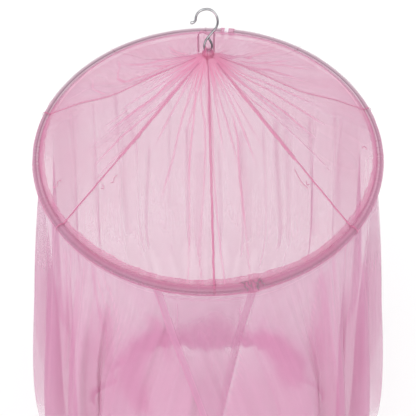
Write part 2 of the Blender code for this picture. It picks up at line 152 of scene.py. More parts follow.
def opaque(colour):
    """Red, green and blue with nothing see-through; a linked colour stays as it is."""
    return colour if isinstance(colour, Value) else (*colour, 1.0)


def set_stops(ramp, stops):
    """A colour ramp's stops, as (place, colour)."""
    for _ in range(len(stops) - len(ramp.elements)):
        ramp.elements.new(1.0)
    for element, (place, colour) in zip(ramp.elements, stops):
        element.position, element.color = place, opaque(colour)


def blend(tree, share, first, second):
    """A colour between two colours."""
    sockets = {0: share, 6: opaque(first), 7: opaque(second)}
    return add_node(tree, "ShaderNodeMix", dict(data_type="RGBA"), sockets, out=2)


def new_material(name):
    """A material's nodes and the shader in it."""
    material = bpy.data.materials.new(name)
    material.use_nodes = True
    tree = material.node_tree
    return material, tree, tree.nodes["Principled BSDF"]


def connect(tree, value, shader, name):
    """Feeds a value into one of the shader's sockets."""
    tree.links.new(value.socket, shader.inputs[name])


def add_relief(tree, shader, height, strength, distance):
    """Raises the surface by a height that varies over it."""
    sockets = {"Strength": strength, "Distance": distance, "Height": height}
    connect(tree, add_node(tree, "ShaderNodeBump", {}, sockets), shader, "Normal")


def noise(tree, place, scale, detail=2.0, flat=False, **more):
    """Soft noise, in space or over a flat cloth."""
    settings = dict(noise_dimensions="2D" if flat else "3D")
    sockets = {"Vector": place, "Scale": scale, "Detail": detail, **more}
    return add_node(tree, "ShaderNodeTexNoise", settings, sockets)


def object_place(tree):
    """The place on the piece, in metres."""
    return add_node(tree, "ShaderNodeTexCoord", {}, {}, out=3)


def turned_away(tree):
    """0 where the surface is seen square on, 1 where it is seen edge on."""
    return add_node(tree, "ShaderNodeLayerWeight", {}, {"Blend": 0.5}, out=1)


def carried(tree, name):
    """A value that the mesh carries on its points."""
    return add_node(tree, "ShaderNodeAttribute", dict(attribute_name=name), {}, out=2)


print("shader maths is ready")

# %% [markdown]
# ## Light and floor
#
# A sheer net looks best in even light, so most of the light comes from a white surround, as
# from a light tent. The tent is greyer towards the horizon, which gives the chrome wire and
# the tube something to mirror. A broad, weak sun from the upper left gives the folds a lighter
# side. The floor is plain and pale, and lies just under the hem.

# %% Light and floor
TENT = [                   # brightness of the light tent from the ground up to overhead
    (0.00, (0.62, 0.62, 0.62)), (0.52, (0.42, 0.42, 0.42)), (0.66, (0.80, 0.80, 0.80)),
    (1.00, (1.0, 1.0, 1.0)),
]
TENT_STRENGTH = 1.12
SUN_STRENGTH = 0.80
SUN_SPREAD, SUN_TILT, SUN_TURN = 70, 38, -24   # degrees
FLOOR_HEIGHT = cad_box[0][2] - 0.012
FLOOR_REACH = 30.0

world = bpy.data.worlds.new("light tent")
world.use_nodes = True
tree = world.node_tree
towards = add_node(tree, "ShaderNodeTexCoord")
height = add_node(tree, "ShaderNodeSeparateXYZ", {}, {0: towards}, out=2)
tent = add_node(tree, "ShaderNodeValToRGB", dict(stops=TENT), {0: height * 0.5 + 0.5})
tree.links.new(tent.socket, tree.nodes["Background"].inputs["Color"])
tree.nodes["Background"].inputs["Strength"].default_value = TENT_STRENGTH
scene.world = world
scene.view_settings.view_transform = "Standard"

sun_data = bpy.data.lights.new("broad sun", "SUN")
sun_data.energy = SUN_STRENGTH
sun_data.angle = math.radians(SUN_SPREAD)
sun = bpy.data.objects.new("broad sun", sun_data)
sun.rotation_euler = (math.radians(SUN_TILT), math.radians(SUN_TURN), 0.0)
scene.collection.objects.link(sun)

floor_mesh = bpy.data.meshes.new("studio_floor")
corners = [(x * FLOOR_REACH, y * FLOOR_REACH, FLOOR_HEIGHT)
           for x, y in ((-1, -1), (1, -1), (1, 1), (-1, 1))]
floor_mesh.from_pydata(corners, [], [(0, 1, 2, 3)])
floor = bpy.data.objects.new("studio_floor", floor_mesh)
scene.collection.objects.link(floor)
material, tree, shader = new_material("pale_floor")
shader.inputs["Base Color"].default_value = (0.90, 0.90, 0.90, 1.0)
shader.inputs["Roughness"].default_value = 0.95
shader.inputs["Specular IOR Level"].default_value = 0.1
floor_mesh.materials.append(material)
print("floor at", round(FLOOR_HEIGHT, 3), "m")

# %% [markdown]
# ## The net cloth
#
# The net is knitted from thin polyester thread with holes about a millimetre wide. From a
# step away no hole shows: the cloth is a tint that hides part of what is behind it. Seen
# aslant, more threads stand in the way, and where layers lie together it is darker still. So
# the material needs three numbers: the share that one layer covers when seen square on, how
# many layers there are, which each mesh carries as a value on its points, and how much the
# cloth is turned away. Each layer lets the same share through, which makes a power.
#
# Layer Weight's Facing gives the turn. The knit itself is a fine lattice of light and dark in
# the cloth's own flat metres, and slow noise makes it uneven, as hanging net is. The wall is
# denser along its turned hem, and along the line where it is sewn to the casing.

# %% Net material
PINK_THREAD = (0.67, 0.310, 0.490)     # where the net is thin
ROSE_THREAD = (0.68, 0.205, 0.360)     # in the crown's pleats
MAUVE_THREAD = (0.61, 0.235, 0.405)    # in the wall's folds
HOLE_PITCH = 0.0017        # from one hole to the next
LEAST_LAYERS = 0.2         # net that is pulled thin still hides this much


def cloth_place(tree):
    """The cloth's own flat metres, across and down, as one vector."""
    return add_node(tree, "ShaderNodeUVMap", dict(uv_map="flat"))


def split(tree, vector):
    """The first two numbers of a vector."""
    across = add_node(tree, "ShaderNodeSeparateXYZ", {}, {0: vector}, out=0)
    down = Value(across.socket.node.outputs[1])
    return across, down


def uneven(tree, place, scale, stretch, detail=3.0):
    """Noise over the cloth. Its spots are longer down than across where stretch is under 1."""
    sockets = {0: place, 1: (1.0, stretch, 1.0)}
    longer = add_node(tree, "ShaderNodeVectorMath", dict(operation="MULTIPLY"), sockets)
    return noise(tree, longer, scale, detail, flat=True)


def knit(tree, place, pitch):
    """A lattice of holes, from 0 in a hole to 1 on a thread."""
    across, down = split(tree, place)
    turn = math.tau / pitch
    first = (across * turn + down * turn).wave().size()
    second = (across * turn - down * turn).wave().size()
    return 1 - first * second


def net_material(name, cover, light, dark, aslant, hem=False):
    """See-through net. cover is what one layer hides when seen square on.

    aslant is the least cosine that still makes it denser."""
    material, tree, shader = new_material(name)
    place = cloth_place(tree)
    slow = uneven(tree, place, scale=14.0, stretch=0.25)
    streaks = uneven(tree, place, scale=60.0, stretch=0.06, detail=2.0)
    threads = knit(tree, place, HOLE_PITCH)
    layers = carried(tree, "layers") + (streaks - 0.5) * 0.07 + (slow - 0.5) * 0.30
    if hem:
        layers = layers + sewn_layers(tree, place)
    square_on = (1 - turned_away(tree)).least(aslant)
    path = layers.least(LEAST_LAYERS) * (0.95 + threads * 0.10) / square_on
    alpha = 1 - (1 - cover) ** path
    connect(tree, alpha.kept(), shader, "Alpha")
    tint = (slow * 0.6 + layers * 0.12).kept()
    connect(tree, blend(tree, tint, light, dark), shader, "Base Color")
    connect(tree, 0.62 + (threads - 0.5) * 0.12, shader, "Roughness")
    add_relief(tree, shader, threads + streaks, strength=0.12, distance=0.0006)
    shader.inputs["Sheen Weight"].default_value = 0.15
    shader.inputs["Sheen Roughness"].default_value = 0.5
    shader.inputs["Specular IOR Level"].default_value = 0.25
    return material


HEM_WIDTH = 0.013          # the turned hem along the wall's free and lower edges
HEM_FOLD, HEM_SEWN = 0.0009, 0.0115        # how far from the edge its fold and its stitches lie
TOP_SEWN = 0.0095          # how far below its upper edge the wall is sewn to the casing


def line_at(value, place, sharpness):
    """1 where the value is at that place, 0 beside it."""
    return (1 - (value - place).size() * sharpness).kept()


def sewn_layers(tree, place):
    """What hem and lines of stitches add. "edge" is the distance to the cloth's edge."""
    edge = carried(tree, "edge")
    down = split(tree, place)[1]
    hem = ((HEM_WIDTH - edge) * 1500.0).kept() * 1.1
    hem = hem + line_at(edge, HEM_FOLD, 900.0) * 1.2 + line_at(edge, HEM_SEWN, 1200.0) * 1.2
    return hem + line_at(down, TOP_SEWN, 1000.0) * 1.3


crown_net = net_material("crown_net", 0.218, PINK_THREAD, ROSE_THREAD, aslant=0.30)
wall_net = net_material("wall_net", 0.205, PINK_THREAD, MAUVE_THREAD, aslant=0.58, hem=True)
casing_net = net_material("casing_net", 0.24, PINK_THREAD, ROSE_THREAD, aslant=0.20)
print("net materials:", crown_net.name, wall_net.name, casing_net.name)

# %% [markdown]
# ## Tapes and thread
#
# The seams are overlocked: an edge of cut net under close loops of thread, which makes a
# dense cord of deep pink. A wave along the tape gives the loops, and noise frays them. The
# gather is wound with the same thread, and finer thread hangs loose here and there.

# %% Tape and thread
DEEP_PINK = (0.66, 0.210, 0.390)
DARK_PINK = (0.62, 0.150, 0.300)
SEAM_LIGHT = (0.68, 0.220, 0.390)


def tape_material(name, cover, pitch, light, dark):
    """Dense tape under loops of thread, pitch apart."""
    material, tree, shader = new_material(name)
    place = cloth_place(tree)
    across, down = split(tree, place)
    slanted = (down + across * 0.6) * (math.tau / pitch)
    loops = slanted.wave() * 0.5 + 0.5
    ragged = uneven(tree, place, scale=260.0, stretch=1.0)
    shade = (loops * 0.65 + ragged * 0.5).kept()
    connect(tree, blend(tree, shade, dark, light), shader, "Base Color")
    worn = (ragged - 0.42).kept() * 1.6
    hidden = (carried(tree, "layers") * cover + loops * 0.22 - worn * 0.25).kept()
    connect(tree, hidden, shader, "Alpha")
    connect(tree, 0.60 + loops * 0.15, shader, "Roughness")
    add_relief(tree, shader, loops + ragged * 0.6, strength=0.8, distance=0.0006)
    shader.inputs["Sheen Weight"].default_value = 0.25
    return material


def thread_material(name, light, dark, pitch):
    """Wound or hand-sewn thread: fine twist along its run."""
    material, tree, shader = new_material(name)
    settings = dict(wave_type="BANDS", bands_direction="DIAGONAL")
    sockets = {"Vector": object_place(tree), "Scale": 1.0 / pitch, "Distortion": 1.5}
    twist = add_node(tree, "ShaderNodeTexWave", settings, sockets, out=1)
    connect(tree, blend(tree, twist, dark, light), shader, "Base Color")
    connect(tree, 0.5 + twist * 0.2, shader, "Roughness")
    add_relief(tree, shader, twist, strength=0.6, distance=0.0003)
    return material


seam_tape = tape_material("seam_tape", 0.60, 0.0030, (0.74, 0.28, 0.44), DEEP_PINK)
seam_binding = tape_material("seam_binding", 0.82, 0.0034, SEAM_LIGHT, DARK_PINK)
loop_tape = tape_material("loop_tape", 0.60, 0.0016, (0.93, 0.86, 0.90), (0.88, 0.76, 0.82))
loop_edge, wound_thread, grey_thread, loose_thread = [thread_material(*recipe) for recipe in (
    ("loop_edge", (0.68, 0.28, 0.44), (0.58, 0.19, 0.34), 0.002),
    ("gather_binding", (0.62, 0.17, 0.30), (0.46, 0.09, 0.18), 0.004),
    ("casing_thread", (0.42, 0.30, 0.36), (0.22, 0.13, 0.18), 0.003),
    ("seam_thread", SEAM_LIGHT, DARK_PINK, 0.002),
)]
print("tapes and threads are ready")

# %% [markdown]
# ## Metal and plastic
#
# The hook is bright chrome wire, the hoop a thin tube with a satin coat, and its joint sits in
# a sleeve of milky plastic. In so pale a light tent round metal would look flat, so its colour is painted
# reflection: a ramp gives it the bands that it would mirror from a furnished room, and the wire also has
# painted dark patches and painted highlights.

# %% Metal and plastic
WIRE_PAINTED_REFLECTION = [               # painted reflection of bright wire, from its middle to its sides
    (0.00, (0.96, 0.96, 0.97)), (0.12, (0.80, 0.80, 0.82)), (0.24, (0.10, 0.10, 0.12)),
    (0.80, (0.05, 0.05, 0.07)), (1.00, (0.22, 0.22, 0.24)),
]
TUBE_PAINTED_REFLECTION = [          # painted reflection bands of the coated tube, from its outer side over its top to below
    (0.00, (0.52, 0.38, 0.45)), (0.28, (0.56, 0.44, 0.50)), (0.34, (0.42, 0.32, 0.38)),
    (0.37, (0.27, 0.19, 0.23)), (0.40, (0.32, 0.22, 0.27)), (0.44, (0.86, 0.81, 0.84)),
    (0.49, (0.84, 0.77, 0.81)), (0.55, (0.72, 0.57, 0.64)), (1.00, (0.60, 0.44, 0.52)),
]


def chrome_material(name):
    """Bright plated wire with faint drawing marks. Its colour is painted reflection: a ramp by how far the
    wire turns away, with painted dark patches and painted highlights.
    """
    material, tree, shader = new_material(name)
    place = object_place(tree)
    marks = noise(tree, place, 420.0, detail=4.0)
    reflection_patches = noise(tree, place, 55.0, detail=1.0)
    painted_reflection = add_node(tree, "ShaderNodeValToRGB", dict(stops=WIRE_PAINTED_REFLECTION), {0: turned_away(tree)})
    # painted dark reflection in patches, with the drawing marks
    darker = ((reflection_patches - 0.50) * 6.0).kept() * 0.85 + marks * 0.12
    shade = blend(tree, darker, painted_reflection, (0.08, 0.08, 0.10))
    # painted highlights in other patches
    painted_highlights = ((0.45 - reflection_patches) * 7.0).kept() * 0.75
    shade = blend(tree, painted_highlights, shade, (0.90, 0.90, 0.92))
    connect(tree, shade, shader, "Base Color")
    connect(tree, 0.08 + marks * 0.18, shader, "Roughness")
    shader.inputs["Metallic"].default_value = 1.0
    add_relief(tree, shader, marks, strength=0.15, distance=0.0002)
    return material


def coated_tube_material(name):
    """A satin grey coat on a thin tube, with light scuffs.

    The attribute round is the place on the ramp of painted reflection bands, and dim is painted shade that
    makes them darker in front."""
    material, tree, shader = new_material(name)
    scuffs = noise(tree, object_place(tree), 90.0, detail=5.0, Roughness=0.7)
    settings = dict(stops=TUBE_PAINTED_REFLECTION)
    painted_reflection = add_node(tree, "ShaderNodeValToRGB", settings, {0: carried(tree, "round")})
    shaded_reflection = blend(tree, carried(tree, "dim"), painted_reflection, (0.27, 0.17, 0.22))
    connect(tree, blend(tree, scuffs * 0.3, shaded_reflection, (0.42, 0.30, 0.36)), shader, "Base Color")
    connect(tree, 0.26 + scuffs * 0.20, shader, "Roughness")
    shader.inputs["Metallic"].default_value = 0.20
    add_relief(tree, shader, scuffs, strength=0.12, distance=0.0003)
    return material


def plastic_material(name):
    """Milky moulded plastic."""
    material, tree, shader = new_material(name)
    grain = noise(tree, object_place(tree), 600.0)
    shade = blend(tree, grain, (0.92, 0.90, 0.91), (0.84, 0.80, 0.82))
    connect(tree, shade, shader, "Base Color")
    connect(tree, 0.34 + grain * 0.16, shader, "Roughness")
    shader.inputs["Subsurface Weight"].default_value = 0.1
    return material


chrome = chrome_material("hook_wire")
coated_tube = coated_tube_material("hoop_tube")
milky_plastic = plastic_material("connector")
print("metal and plastic are ready")

# %% [markdown]
# ## Cloth from a grid
#
# Every sheet here is a grid of points: rows go down the cloth, columns across it. A grid is
# easy to bend, because a fold is only a sum over two numbers. The flat metres of the cloth go
# into its UV map, so the knit keeps its size, and the number of layers goes on its points.

# %% Grid helpers
HOOK_DROP = 0.243          # from the inside of the hook's crown down to the plane of the hoop
ROOT = "root"


def mix(first, second, share):
    """A number between two numbers."""
    return first + (second - first) * share


def ease(share):
    """A soft step from 0 to 1."""
    share = np.clip(share, 0.0, 1.0)
    return share * share * (3 - 2 * share)


def rise(value, start, run):
    """A soft step from 0 at the start to 1 at the run's end."""
    return ease((value - start) / run)


def bell(distance, width):
    """A soft bump, 1 in its middle."""
    return np.exp(-(distance / width) ** 2)


def at_azimuth(degrees, radius, height):
    """Points at an azimuth, a distance from the axis and a height."""
    angle, radius, height = np.broadcast_arrays(np.radians(degrees), radius, height)
    return np.stack([radius * np.cos(angle), radius * np.sin(angle), height], -1)


def chance_waves(turn, cycles, seed):
    """Smooth chance round the hoop: waves of about that many cycles, between -1 and 1."""
    chance = np.random.default_rng(seed)
    total = np.zeros_like(turn)
    for _ in range(6):
        turns = max(1, round(cycles * chance.uniform(0.55, 1.6)))
        total += np.sin(math.tau * (turns * turn + chance.random())) * chance.uniform(0.4, 1.0)
    return total / 3.2


def at_back(azimuth):
    """1 at the very back of the canopy, 0 at its sides and in front."""
    return np.maximum(np.sin(np.radians(azimuth)), 0.0)


def in_front(azimuth):
    """1 at the very front, 0 at the sides and at the back."""
    return at_back(azimuth + 180)


def length_along(points, axis=0):
    """How far each point lies along its row, from 0."""
    steps = np.linalg.norm(np.diff(points, axis=axis), axis=-1)
    start = np.zeros_like(np.take(steps, [0], axis=axis))
    return np.concatenate([start, np.cumsum(steps, axis=axis)], axis=axis)


def grid_normals(places, closed):
    """The way out of a grid at each of its points."""
    if closed:
        across = np.roll(places, -1, 1) - np.roll(places, 1, 1)
    else:
        across = np.gradient(places, axis=1)
    along = np.gradient(places, axis=0)
    normals = np.cross(across, along)
    return normals / np.maximum(np.linalg.norm(normals, axis=-1, keepdims=True), 1e-12)


def grid_mesh(name, places, close_rows, close_columns):
    """A mesh from a grid, with the row and column of each face's corners."""
    rows, columns = places.shape[:2]
    row, column = np.meshgrid(np.arange(rows - (not close_rows)),
                              np.arange(columns - (not close_columns)), indexing="ij")
    corner_row = np.stack([row, row, row + 1, row + 1], -1).reshape(-1, 4)
    corner_column = np.stack([column, column + 1, column + 1, column], -1).reshape(-1, 4)
    mesh = bpy.data.meshes.new(name)
    corners = corner_row % rows * columns + corner_column % columns
    mesh.from_pydata(places.reshape(-1, 3), [], corners)
    mesh.shade_smooth()
    return mesh, corner_row, corner_column


def carry(mesh, name, values):
    """Puts a value on each point of a mesh."""
    carrier = mesh.attributes.new(name, "FLOAT", "POINT")
    carrier.data.foreach_set("value", np.ascontiguousarray(values, dtype=float).ravel())


def ride_and_stand(piece, nodes):
    """The piece moves with the canopy and stands for these nodes, which it hides."""
    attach(piece, ROOT)
    if nodes:
        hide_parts(*nodes)
    return piece


def add_piece(name, mesh, material):
    """An object whose heights are counted from the plane of the hoop."""
    piece = bpy.data.objects.new(name, mesh)
    mesh.materials.append(material)
    piece.location = (0.0, 0.0, -HOOK_DROP)
    scene.collection.objects.link(piece)
    bpy.context.view_layer.update()
    return piece


def cloth_piece(name, places, flat, layers, material, edge=None, closed=False):
    """A sheet from a grid of places. flat has one more column than a closed grid."""
    mesh, corner_row, corner_column = grid_mesh(name, places, False, closed)
    unrolled = mesh.uv_layers.new(name="flat")
    unrolled.uv.foreach_set("vector", flat[corner_row, corner_column].ravel())
    carry(mesh, "layers", layers)
    if edge is not None:
        carry(mesh, "edge", edge)
    return add_piece(name, mesh, material)


def flat_map(across, down):
    """The UV map of a grid from its columns' and rows' flat metres."""
    across, down = np.broadcast_arrays(across, down)
    return np.stack([across, down], -1)


def cloth_area(piece):
    return sum(face.area for face in piece.data.polygons)


print("grid helpers are ready")

# %% [markdown]
# ## The shape of the crown
#
# The crown is sewn from eight gores. They are gathered to a neck no wider than a thumb, and
# spread to the hoop. The three seams in front carry the hoop and are straight, and those at
# the sides and the back are slack, so each seam and each gore has its own sag. These are the
# numbers of the hard model, so the cloth lies where its solids are.

# %% Crown surface
HOOP_RADIUS = 0.300
TUBE_RADIUS = 0.005
NECK_RADIUS, NECK_HEIGHT = 0.009, 0.170
CROWN_SLOPE_END = 0.00755                  # the crown's slope ends so far from the tube's middle
CASING_RADIUS, CASING_TAB = 0.0061, 0.0124  # of the net round the tube, and its tab's length
CREASES_PER_GORE = 2
SEAMS = np.array([         # azimuth, sag and sideways wave
    (271.7, 0.000, 0.0), (318.4, 0.001, 0.0), (371.3, 0.007, 1.6), (411.5, 0.013, -1.5),
    (451.0, 0.017, 1.8), (490.5, 0.015, -1.2), (531.0, 0.008, -1.8), (580.4, 0.001, 0.0),
    (631.7, 0.000, 0.0),
])
GORES = np.array([         # sag under the seams, and crease
    (0.006, 0.0020), (0.007, 0.0022), (0.010, 0.0030), (0.014, 0.0045),
    (0.012, 0.0040), (0.014, 0.0042), (0.010, 0.0030), (0.006, 0.0020),
])
SLOPE = math.atan2(NECK_HEIGHT, HOOP_RADIUS - NECK_RADIUS)
RIM_RADIUS = HOOP_RADIUS - CROWN_SLOPE_END * math.cos(SLOPE)
RIM_HEIGHT = CROWN_SLOPE_END * math.sin(SLOPE)
SLOPE_LENGTH = math.hypot(RIM_RADIUS - NECK_RADIUS, NECK_HEIGHT - RIM_HEIGHT)


def crown_place(across, down):
    """Places on the crown, and their azimuths.

    across counts gores from the front seam, down is the share of the slope to the hoop."""
    across, down = np.broadcast_arrays(across, down)
    index = np.clip(np.floor(across).astype(int), 0, len(GORES) - 1)
    share = across - index
    slack = mix(SEAMS[index, 1], SEAMS[index + 1, 1], ease(share))
    waved = mix(SEAMS[index, 2], SEAMS[index + 1, 2], ease(share))
    belly = np.sin(math.pi * np.clip(down, 0.0, 1.0))
    between = np.sin(math.pi * np.clip(share, 0.0, 1.0))
    azimuth = mix(SEAMS[index, 0], SEAMS[index + 1, 0], share)
    azimuth = azimuth + waved * np.sin(3 * math.pi * down) * belly
    crease = GORES[index, 1] * np.cos(math.tau * CREASES_PER_GORE * share) * between
    sag = (slack + GORES[index, 0] * between + crease) * belly
    height = mix(NECK_HEIGHT, RIM_HEIGHT, down) - sag
    return at_azimuth(azimuth, mix(NECK_RADIUS, RIM_RADIUS, down), height), azimuth


print("crown slope", round(math.degrees(SLOPE), 1), "degrees, length", round(SLOPE_LENGTH, 3), "m")

# %% [markdown]
# ## Listed creases
#
# Net that has been packed and gathered keeps creases. Each one here is a short run of points,
# azimuth and share of the slope, and is pressed into the grid as a soft ridge, narrow near
# the gather and wider further out. Where net doubles in a crease there is more of it, so a
# crease also adds to the layers. Close to the gather there are too many pleats to place:
# there, waves of chance round the neck make wedges that thin out on the way down.

# %% Creases of the crown
# (width in millimetres, layers it adds, its run from the neck down as azimuth and share)
CROWN_CREASES = [
    (3.2, 2.0, [(188.6, .08), (187.8, .20), (187, .31), (187.4, .41), (188.7, .52)]),
    (5.5, 2.4, [(190.5, .07), (193, .20), (198.7, .26), (197.4, .31), (195.5, .37), (197, .60)]),
    (2.4, 1.6, [(190.5, .42), (191.7, .49), (193.5, .66)]),
    (3.0, 2.4, [(214, .10), (216.5, .23), (215.2, .29), (212.2, .36), (210.2, .50), (212.2, .75)]),
    (2.4, 1.2, [(218.3, .52), (218, .66), (218, .82)]),
    (3.0, 2.4, [(226, .06), (230.9, .19), (232.2, .26), (233.2, .34), (235, .50)]),
    (3.0, 2.2, [(232, .05), (238.3, .11), (242.2, .19), (244.8, .30), (248, .44), (249.5, .70)]),
    (2.8, 2.4, [(238, .04), (245.2, .12), (253, .19), (256.5, .28), (258.3, .42), (261.7, .62)]),
    (2.4, 1.5, [(258.3, .42), (261.7, .62), (263.5, .78), (264.5, 1.02)]),
    (3.0, 2.4, [(249, .04), (256.5, .12), (262.6, .21), (267, .28), (268.3, .38), (268, .60)]),
    (2.4, 1.6, [(268.2, .50), (267.4, .72), (267, .86), (268.7, 1.02)]),
    (4.5, 1.4, [(262, .04), (267, .12), (269.6, .22), (270.2, .40)]),
    (3.2, 2.0, [(273, .05), (273.5, .19), (273.9, .31), (273, .47), (273.5, .67), (274.8, 1.02)]),
    (2.6, 1.6, [(287, .05), (284, .10), (279, .18), (275, .26)]),
    (3.0, 2.4, [(282, .04), (285.6, .10), (286.5, .19), (287.8, .29), (287.8, .39), (287, .52)]),
    (3.0, 2.8, [(296, .26), (293, .36), (289, .45), (286.5, .54), (284.8, .66), (283.5, .80)]),
    (2.4, 1.6, [(284.8, .66), (283.5, .79), (281.7, 1.02)]),
    (3.2, 2.4, [(293, .04), (297.4, .09), (300.4, .16), (300.4, .24), (299.6, .35), (297.5, .55)]),
    (4.0, 1.4, [(305, .04), (311, .12), (314.5, .22), (316, .34)]),
    (2.8, 2.2, [(320, .12), (323.8, .24), (327.3, .31), (330, .38), (330.4, .50)]),
    (2.4, 1.3, [(330.4, .44), (330, .64), (329.2, .73), (327.5, .84)]),
    (3.6, 2.8, [(320, .04), (324.6, .08), (331.5, .15), (335.4, .21), (340.8, .25), (343.5, .34),
                (343.5, .43), (341.9, .49), (340, .64)]),
    (2.4, 1.4, [(332.5, .17), (329, .21), (325, .25)]),
    (3.2, 2.4, [(340, .04), (346, .09), (350, .15), (352, .21), (355, .30), (353.8, .41), (352, .70)]),
    (3.2, 2.2, [(350, .05), (353.8, .12), (357, .18), (361.5, .25), (364.2, .38), (363.7, .64)]),
    (3.0, 1.6, [(363, .05), (366, .14), (370, .20)]),
    (5.5, 1.8, [(392, .12), (393.5, .21), (395, .35), (396.5, .44), (394.2, .53), (391.9, .60),
                (387.7, .64), (383, .72)]),
    (4.5, 1.7, [(398, .18), (400.8, .27), (403, .35), (405.4, .50), (406.5, .64), (405.6, .80)]),
    (3.4, 1.4, [(410, .30), (409, .38), (408.3, .44), (405.5, .52)]),
    (3.4, 1.4, [(402.3, .46), (402.3, .62), (399.2, .71), (396.2, .90)]),
    (4.0, 1.6, [(409, .30), (411.5, .38), (416, .44), (418.5, .51), (418.8, .64), (415.6, .84)]),
    (6.0, 1.5, [(425, .10), (428, .22), (431, .40), (430, .55)]),
    (5.0, 1.4, [(441, .12), (438, .28), (440, .45), (437, .62)]),
    (4.5, 1.6, [(467.5, .34), (468, .50), (470, .60), (472, .74)]),
    (4.5, 1.5, [(479.5, .34), (476, .46), (472.8, .58)]),
    (4.0, 1.4, [(465, .48), (469, .68), (470, .86)]),
    (5.0, 1.8, [(491.8, .14), (491.5, .31), (493, .43), (495.5, .55), (496.5, .78)]),
    (5.0, 1.8, [(504, .12), (502.3, .27), (499.6, .37), (495.5, .50)]),
    (4.5, 1.6, [(503.8, .25), (507, .39), (510.4, .57), (507.7, .66), (499, .75), (493, .88)]),
    (3.4, 1.3, [(498.5, .40), (502.5, .55)]),
    (3.2, 1.6, [(527, .60), (518.5, .76), (510.8, .85), (507.5, .94)]),
    (3.0, 1.4, [(515.5, .80), (521.5, .85), (525.5, .94)]),
    (6.0, 1.6, [(515, .08), (517, .22), (519, .42)]),
    (5.0, 1.5, [(524, .06), (526, .20), (525, .36)]),
    (4.0, 1.5, [(537, .06), (540, .18), (541, .34)]),
    (3.4, 1.3, [(543, .06), (546, .16), (547, .30)]),
]
CREASE_LIFT = 0.00014      # how far a crease stands up for each layer it adds


def away_from(run, azimuth, along):
    """Degrees from a run's middle line, which goes through points of azimuth and distance."""
    middle = np.interp(along, [there for _, there in run], [place for place, _ in run])
    return (azimuth - middle + 180) % 360 - 180


def crease_mark(width, run, azimuth, radius, down):
    """How strongly a crease marks each point of the grid, from 0 to 1."""
    first, last = run[0][1], run[-1][1]
    aside = np.radians(away_from(run, azimuth, down)) * radius
    fade = ease((down - first) / 0.06 + 0.3)
    if last < 1.0:
        fade = fade * ease((last - down) / 0.18)
    narrowed = width / 2000 * mix(0.42, 1.0, ease(down / 0.30))
    return bell(aside, narrowed) * fade


def lay_creases(creases, azimuth, radius, down):
    """Layers that the creases add."""
    layers = np.zeros_like(azimuth)
    for width, added, run in creases:
        layers += added * crease_mark(width, run, azimuth, radius, down)
    return layers


PLEATS_AT_NECK = 46
PLEAT_WIDTHS, PLEAT_LAYERS = (2.1, 5.0), (0.8, 2.7)     # least and most, in millimetres and layers


def gather_pleats(azimuth, radius, down):
    """Layers of the small pleats all round the gather, each a clean line of its own length."""
    chance = np.random.default_rng(41)
    layers = 3.6 * bell(down, 0.10)
    for start in SEAMS[0, 0] + 360 / PLEATS_AT_NECK * (np.arange(PLEATS_AT_NECK) + 0.5):
        start += chance.uniform(-3.0, 3.0)
        end = start + chance.uniform(-4.0, 4.0)
        width, added = chance.uniform(*PLEAT_WIDTHS), chance.uniform(*PLEAT_LAYERS)
        far = 0.16 + 0.42 * chance.random() ** 2
        run = [(start, 0.015), (mix(start, end, 0.6), 0.10), (end, far)]
        crowded = 1 + 1.2 * bell(down, 0.12)
        layers += added * crowded * crease_mark(width, run, azimuth, radius, down)
    return layers


print(len(CROWN_CREASES), "creases placed by hand")

# %% [markdown]
# ## The crown's net
#
# One continuous sheet goes all the way round, from inside the gather to the hoop. Its rows
# stand closer together near the neck, where the pleats are fine. Round the knot the pleats
# crowd into a blur, which is thinner behind the hanging loop, and at the hoop the edge is
# doubled.

# %% Crown cloth
CROWN_COLUMNS, CROWN_ROWS = 8 * 96, 128
RIM_ALLOWANCE, RIM_LAYERS = 0.022, 0.8     # share of the slope that is doubled, and by how much
CLOUD_AT_BACK, CLOUD_LESS = 0.75, 0.22     # the blur of pleats adds there, and takes all round
LOOP_AZIMUTH, LOOP_SPREAD, LOOP_THINNED = 90, 15, 0.55
KNOT_LAYERS, KNOT_REACH = 2.2, 0.035
FOLD_LAYERS, FOLD_AT, FOLD_WIDTH = 1.4, 0.966, 0.005    # one sharp fold before the rim at the back
RIM_AT_BACK, RIM_PRESSED = 0.970, 0.70
CRUMPLE = 0.0011

CASING_MEETS = (CROWN_SLOPE_END - CASING_RADIUS) / SLOPE_LENGTH    # it runs on to the casing
row_share = np.linspace(0.0, 1.0, CROWN_ROWS) ** 1.3 * (1 + CASING_MEETS)
down = np.broadcast_to(row_share[:, None], (CROWN_ROWS, CROWN_COLUMNS))
across = np.broadcast_to(np.arange(CROWN_COLUMNS) / CROWN_COLUMNS * 8, down.shape)
places, azimuth = crown_place(across, down)
radius = mix(NECK_RADIUS, RIM_RADIUS, down)

turn = across / 8
back = at_back(azimuth)
far_side = ease(back / 0.4)
creases = lay_creases(CROWN_CREASES, azimuth, radius, down)
pleats = gather_pleats(azimuth, radius, down)
cloudy = 0.7 * np.exp(-down / 0.30) * (1 + 0.6 * chance_waves(turn, 18, 43))
layers = 1 + creases + pleats + cloudy * (CLOUD_AT_BACK * back - CLOUD_LESS)
layers += RIM_LAYERS * ease((down - 1 + RIM_ALLOWANCE) / 0.006)
layers -= LOOP_THINNED * bell(azimuth - LOOP_AZIMUTH, LOOP_SPREAD) * np.exp(-down / 0.22)
layers += KNOT_LAYERS * (1 - back) * np.exp(-down / KNOT_REACH)
layers *= 1 - RIM_PRESSED * far_side * rise(down, RIM_AT_BACK, 0.012)
layers += FOLD_LAYERS * far_side * bell(down - FOLD_AT, FOLD_WIDTH)
lift = CREASE_LIFT * (creases + 0.25 * pleats) * ease(down / 0.06) * ease((1 - down) / 0.03)
crumple = CRUMPLE * back * chance_waves(turn + 0.05 * down, 46, 44)
crumple *= np.sin(math.pi * np.minimum(down, 1))
places = places + grid_normals(places, closed=True) * (crumple - lift)[..., None]

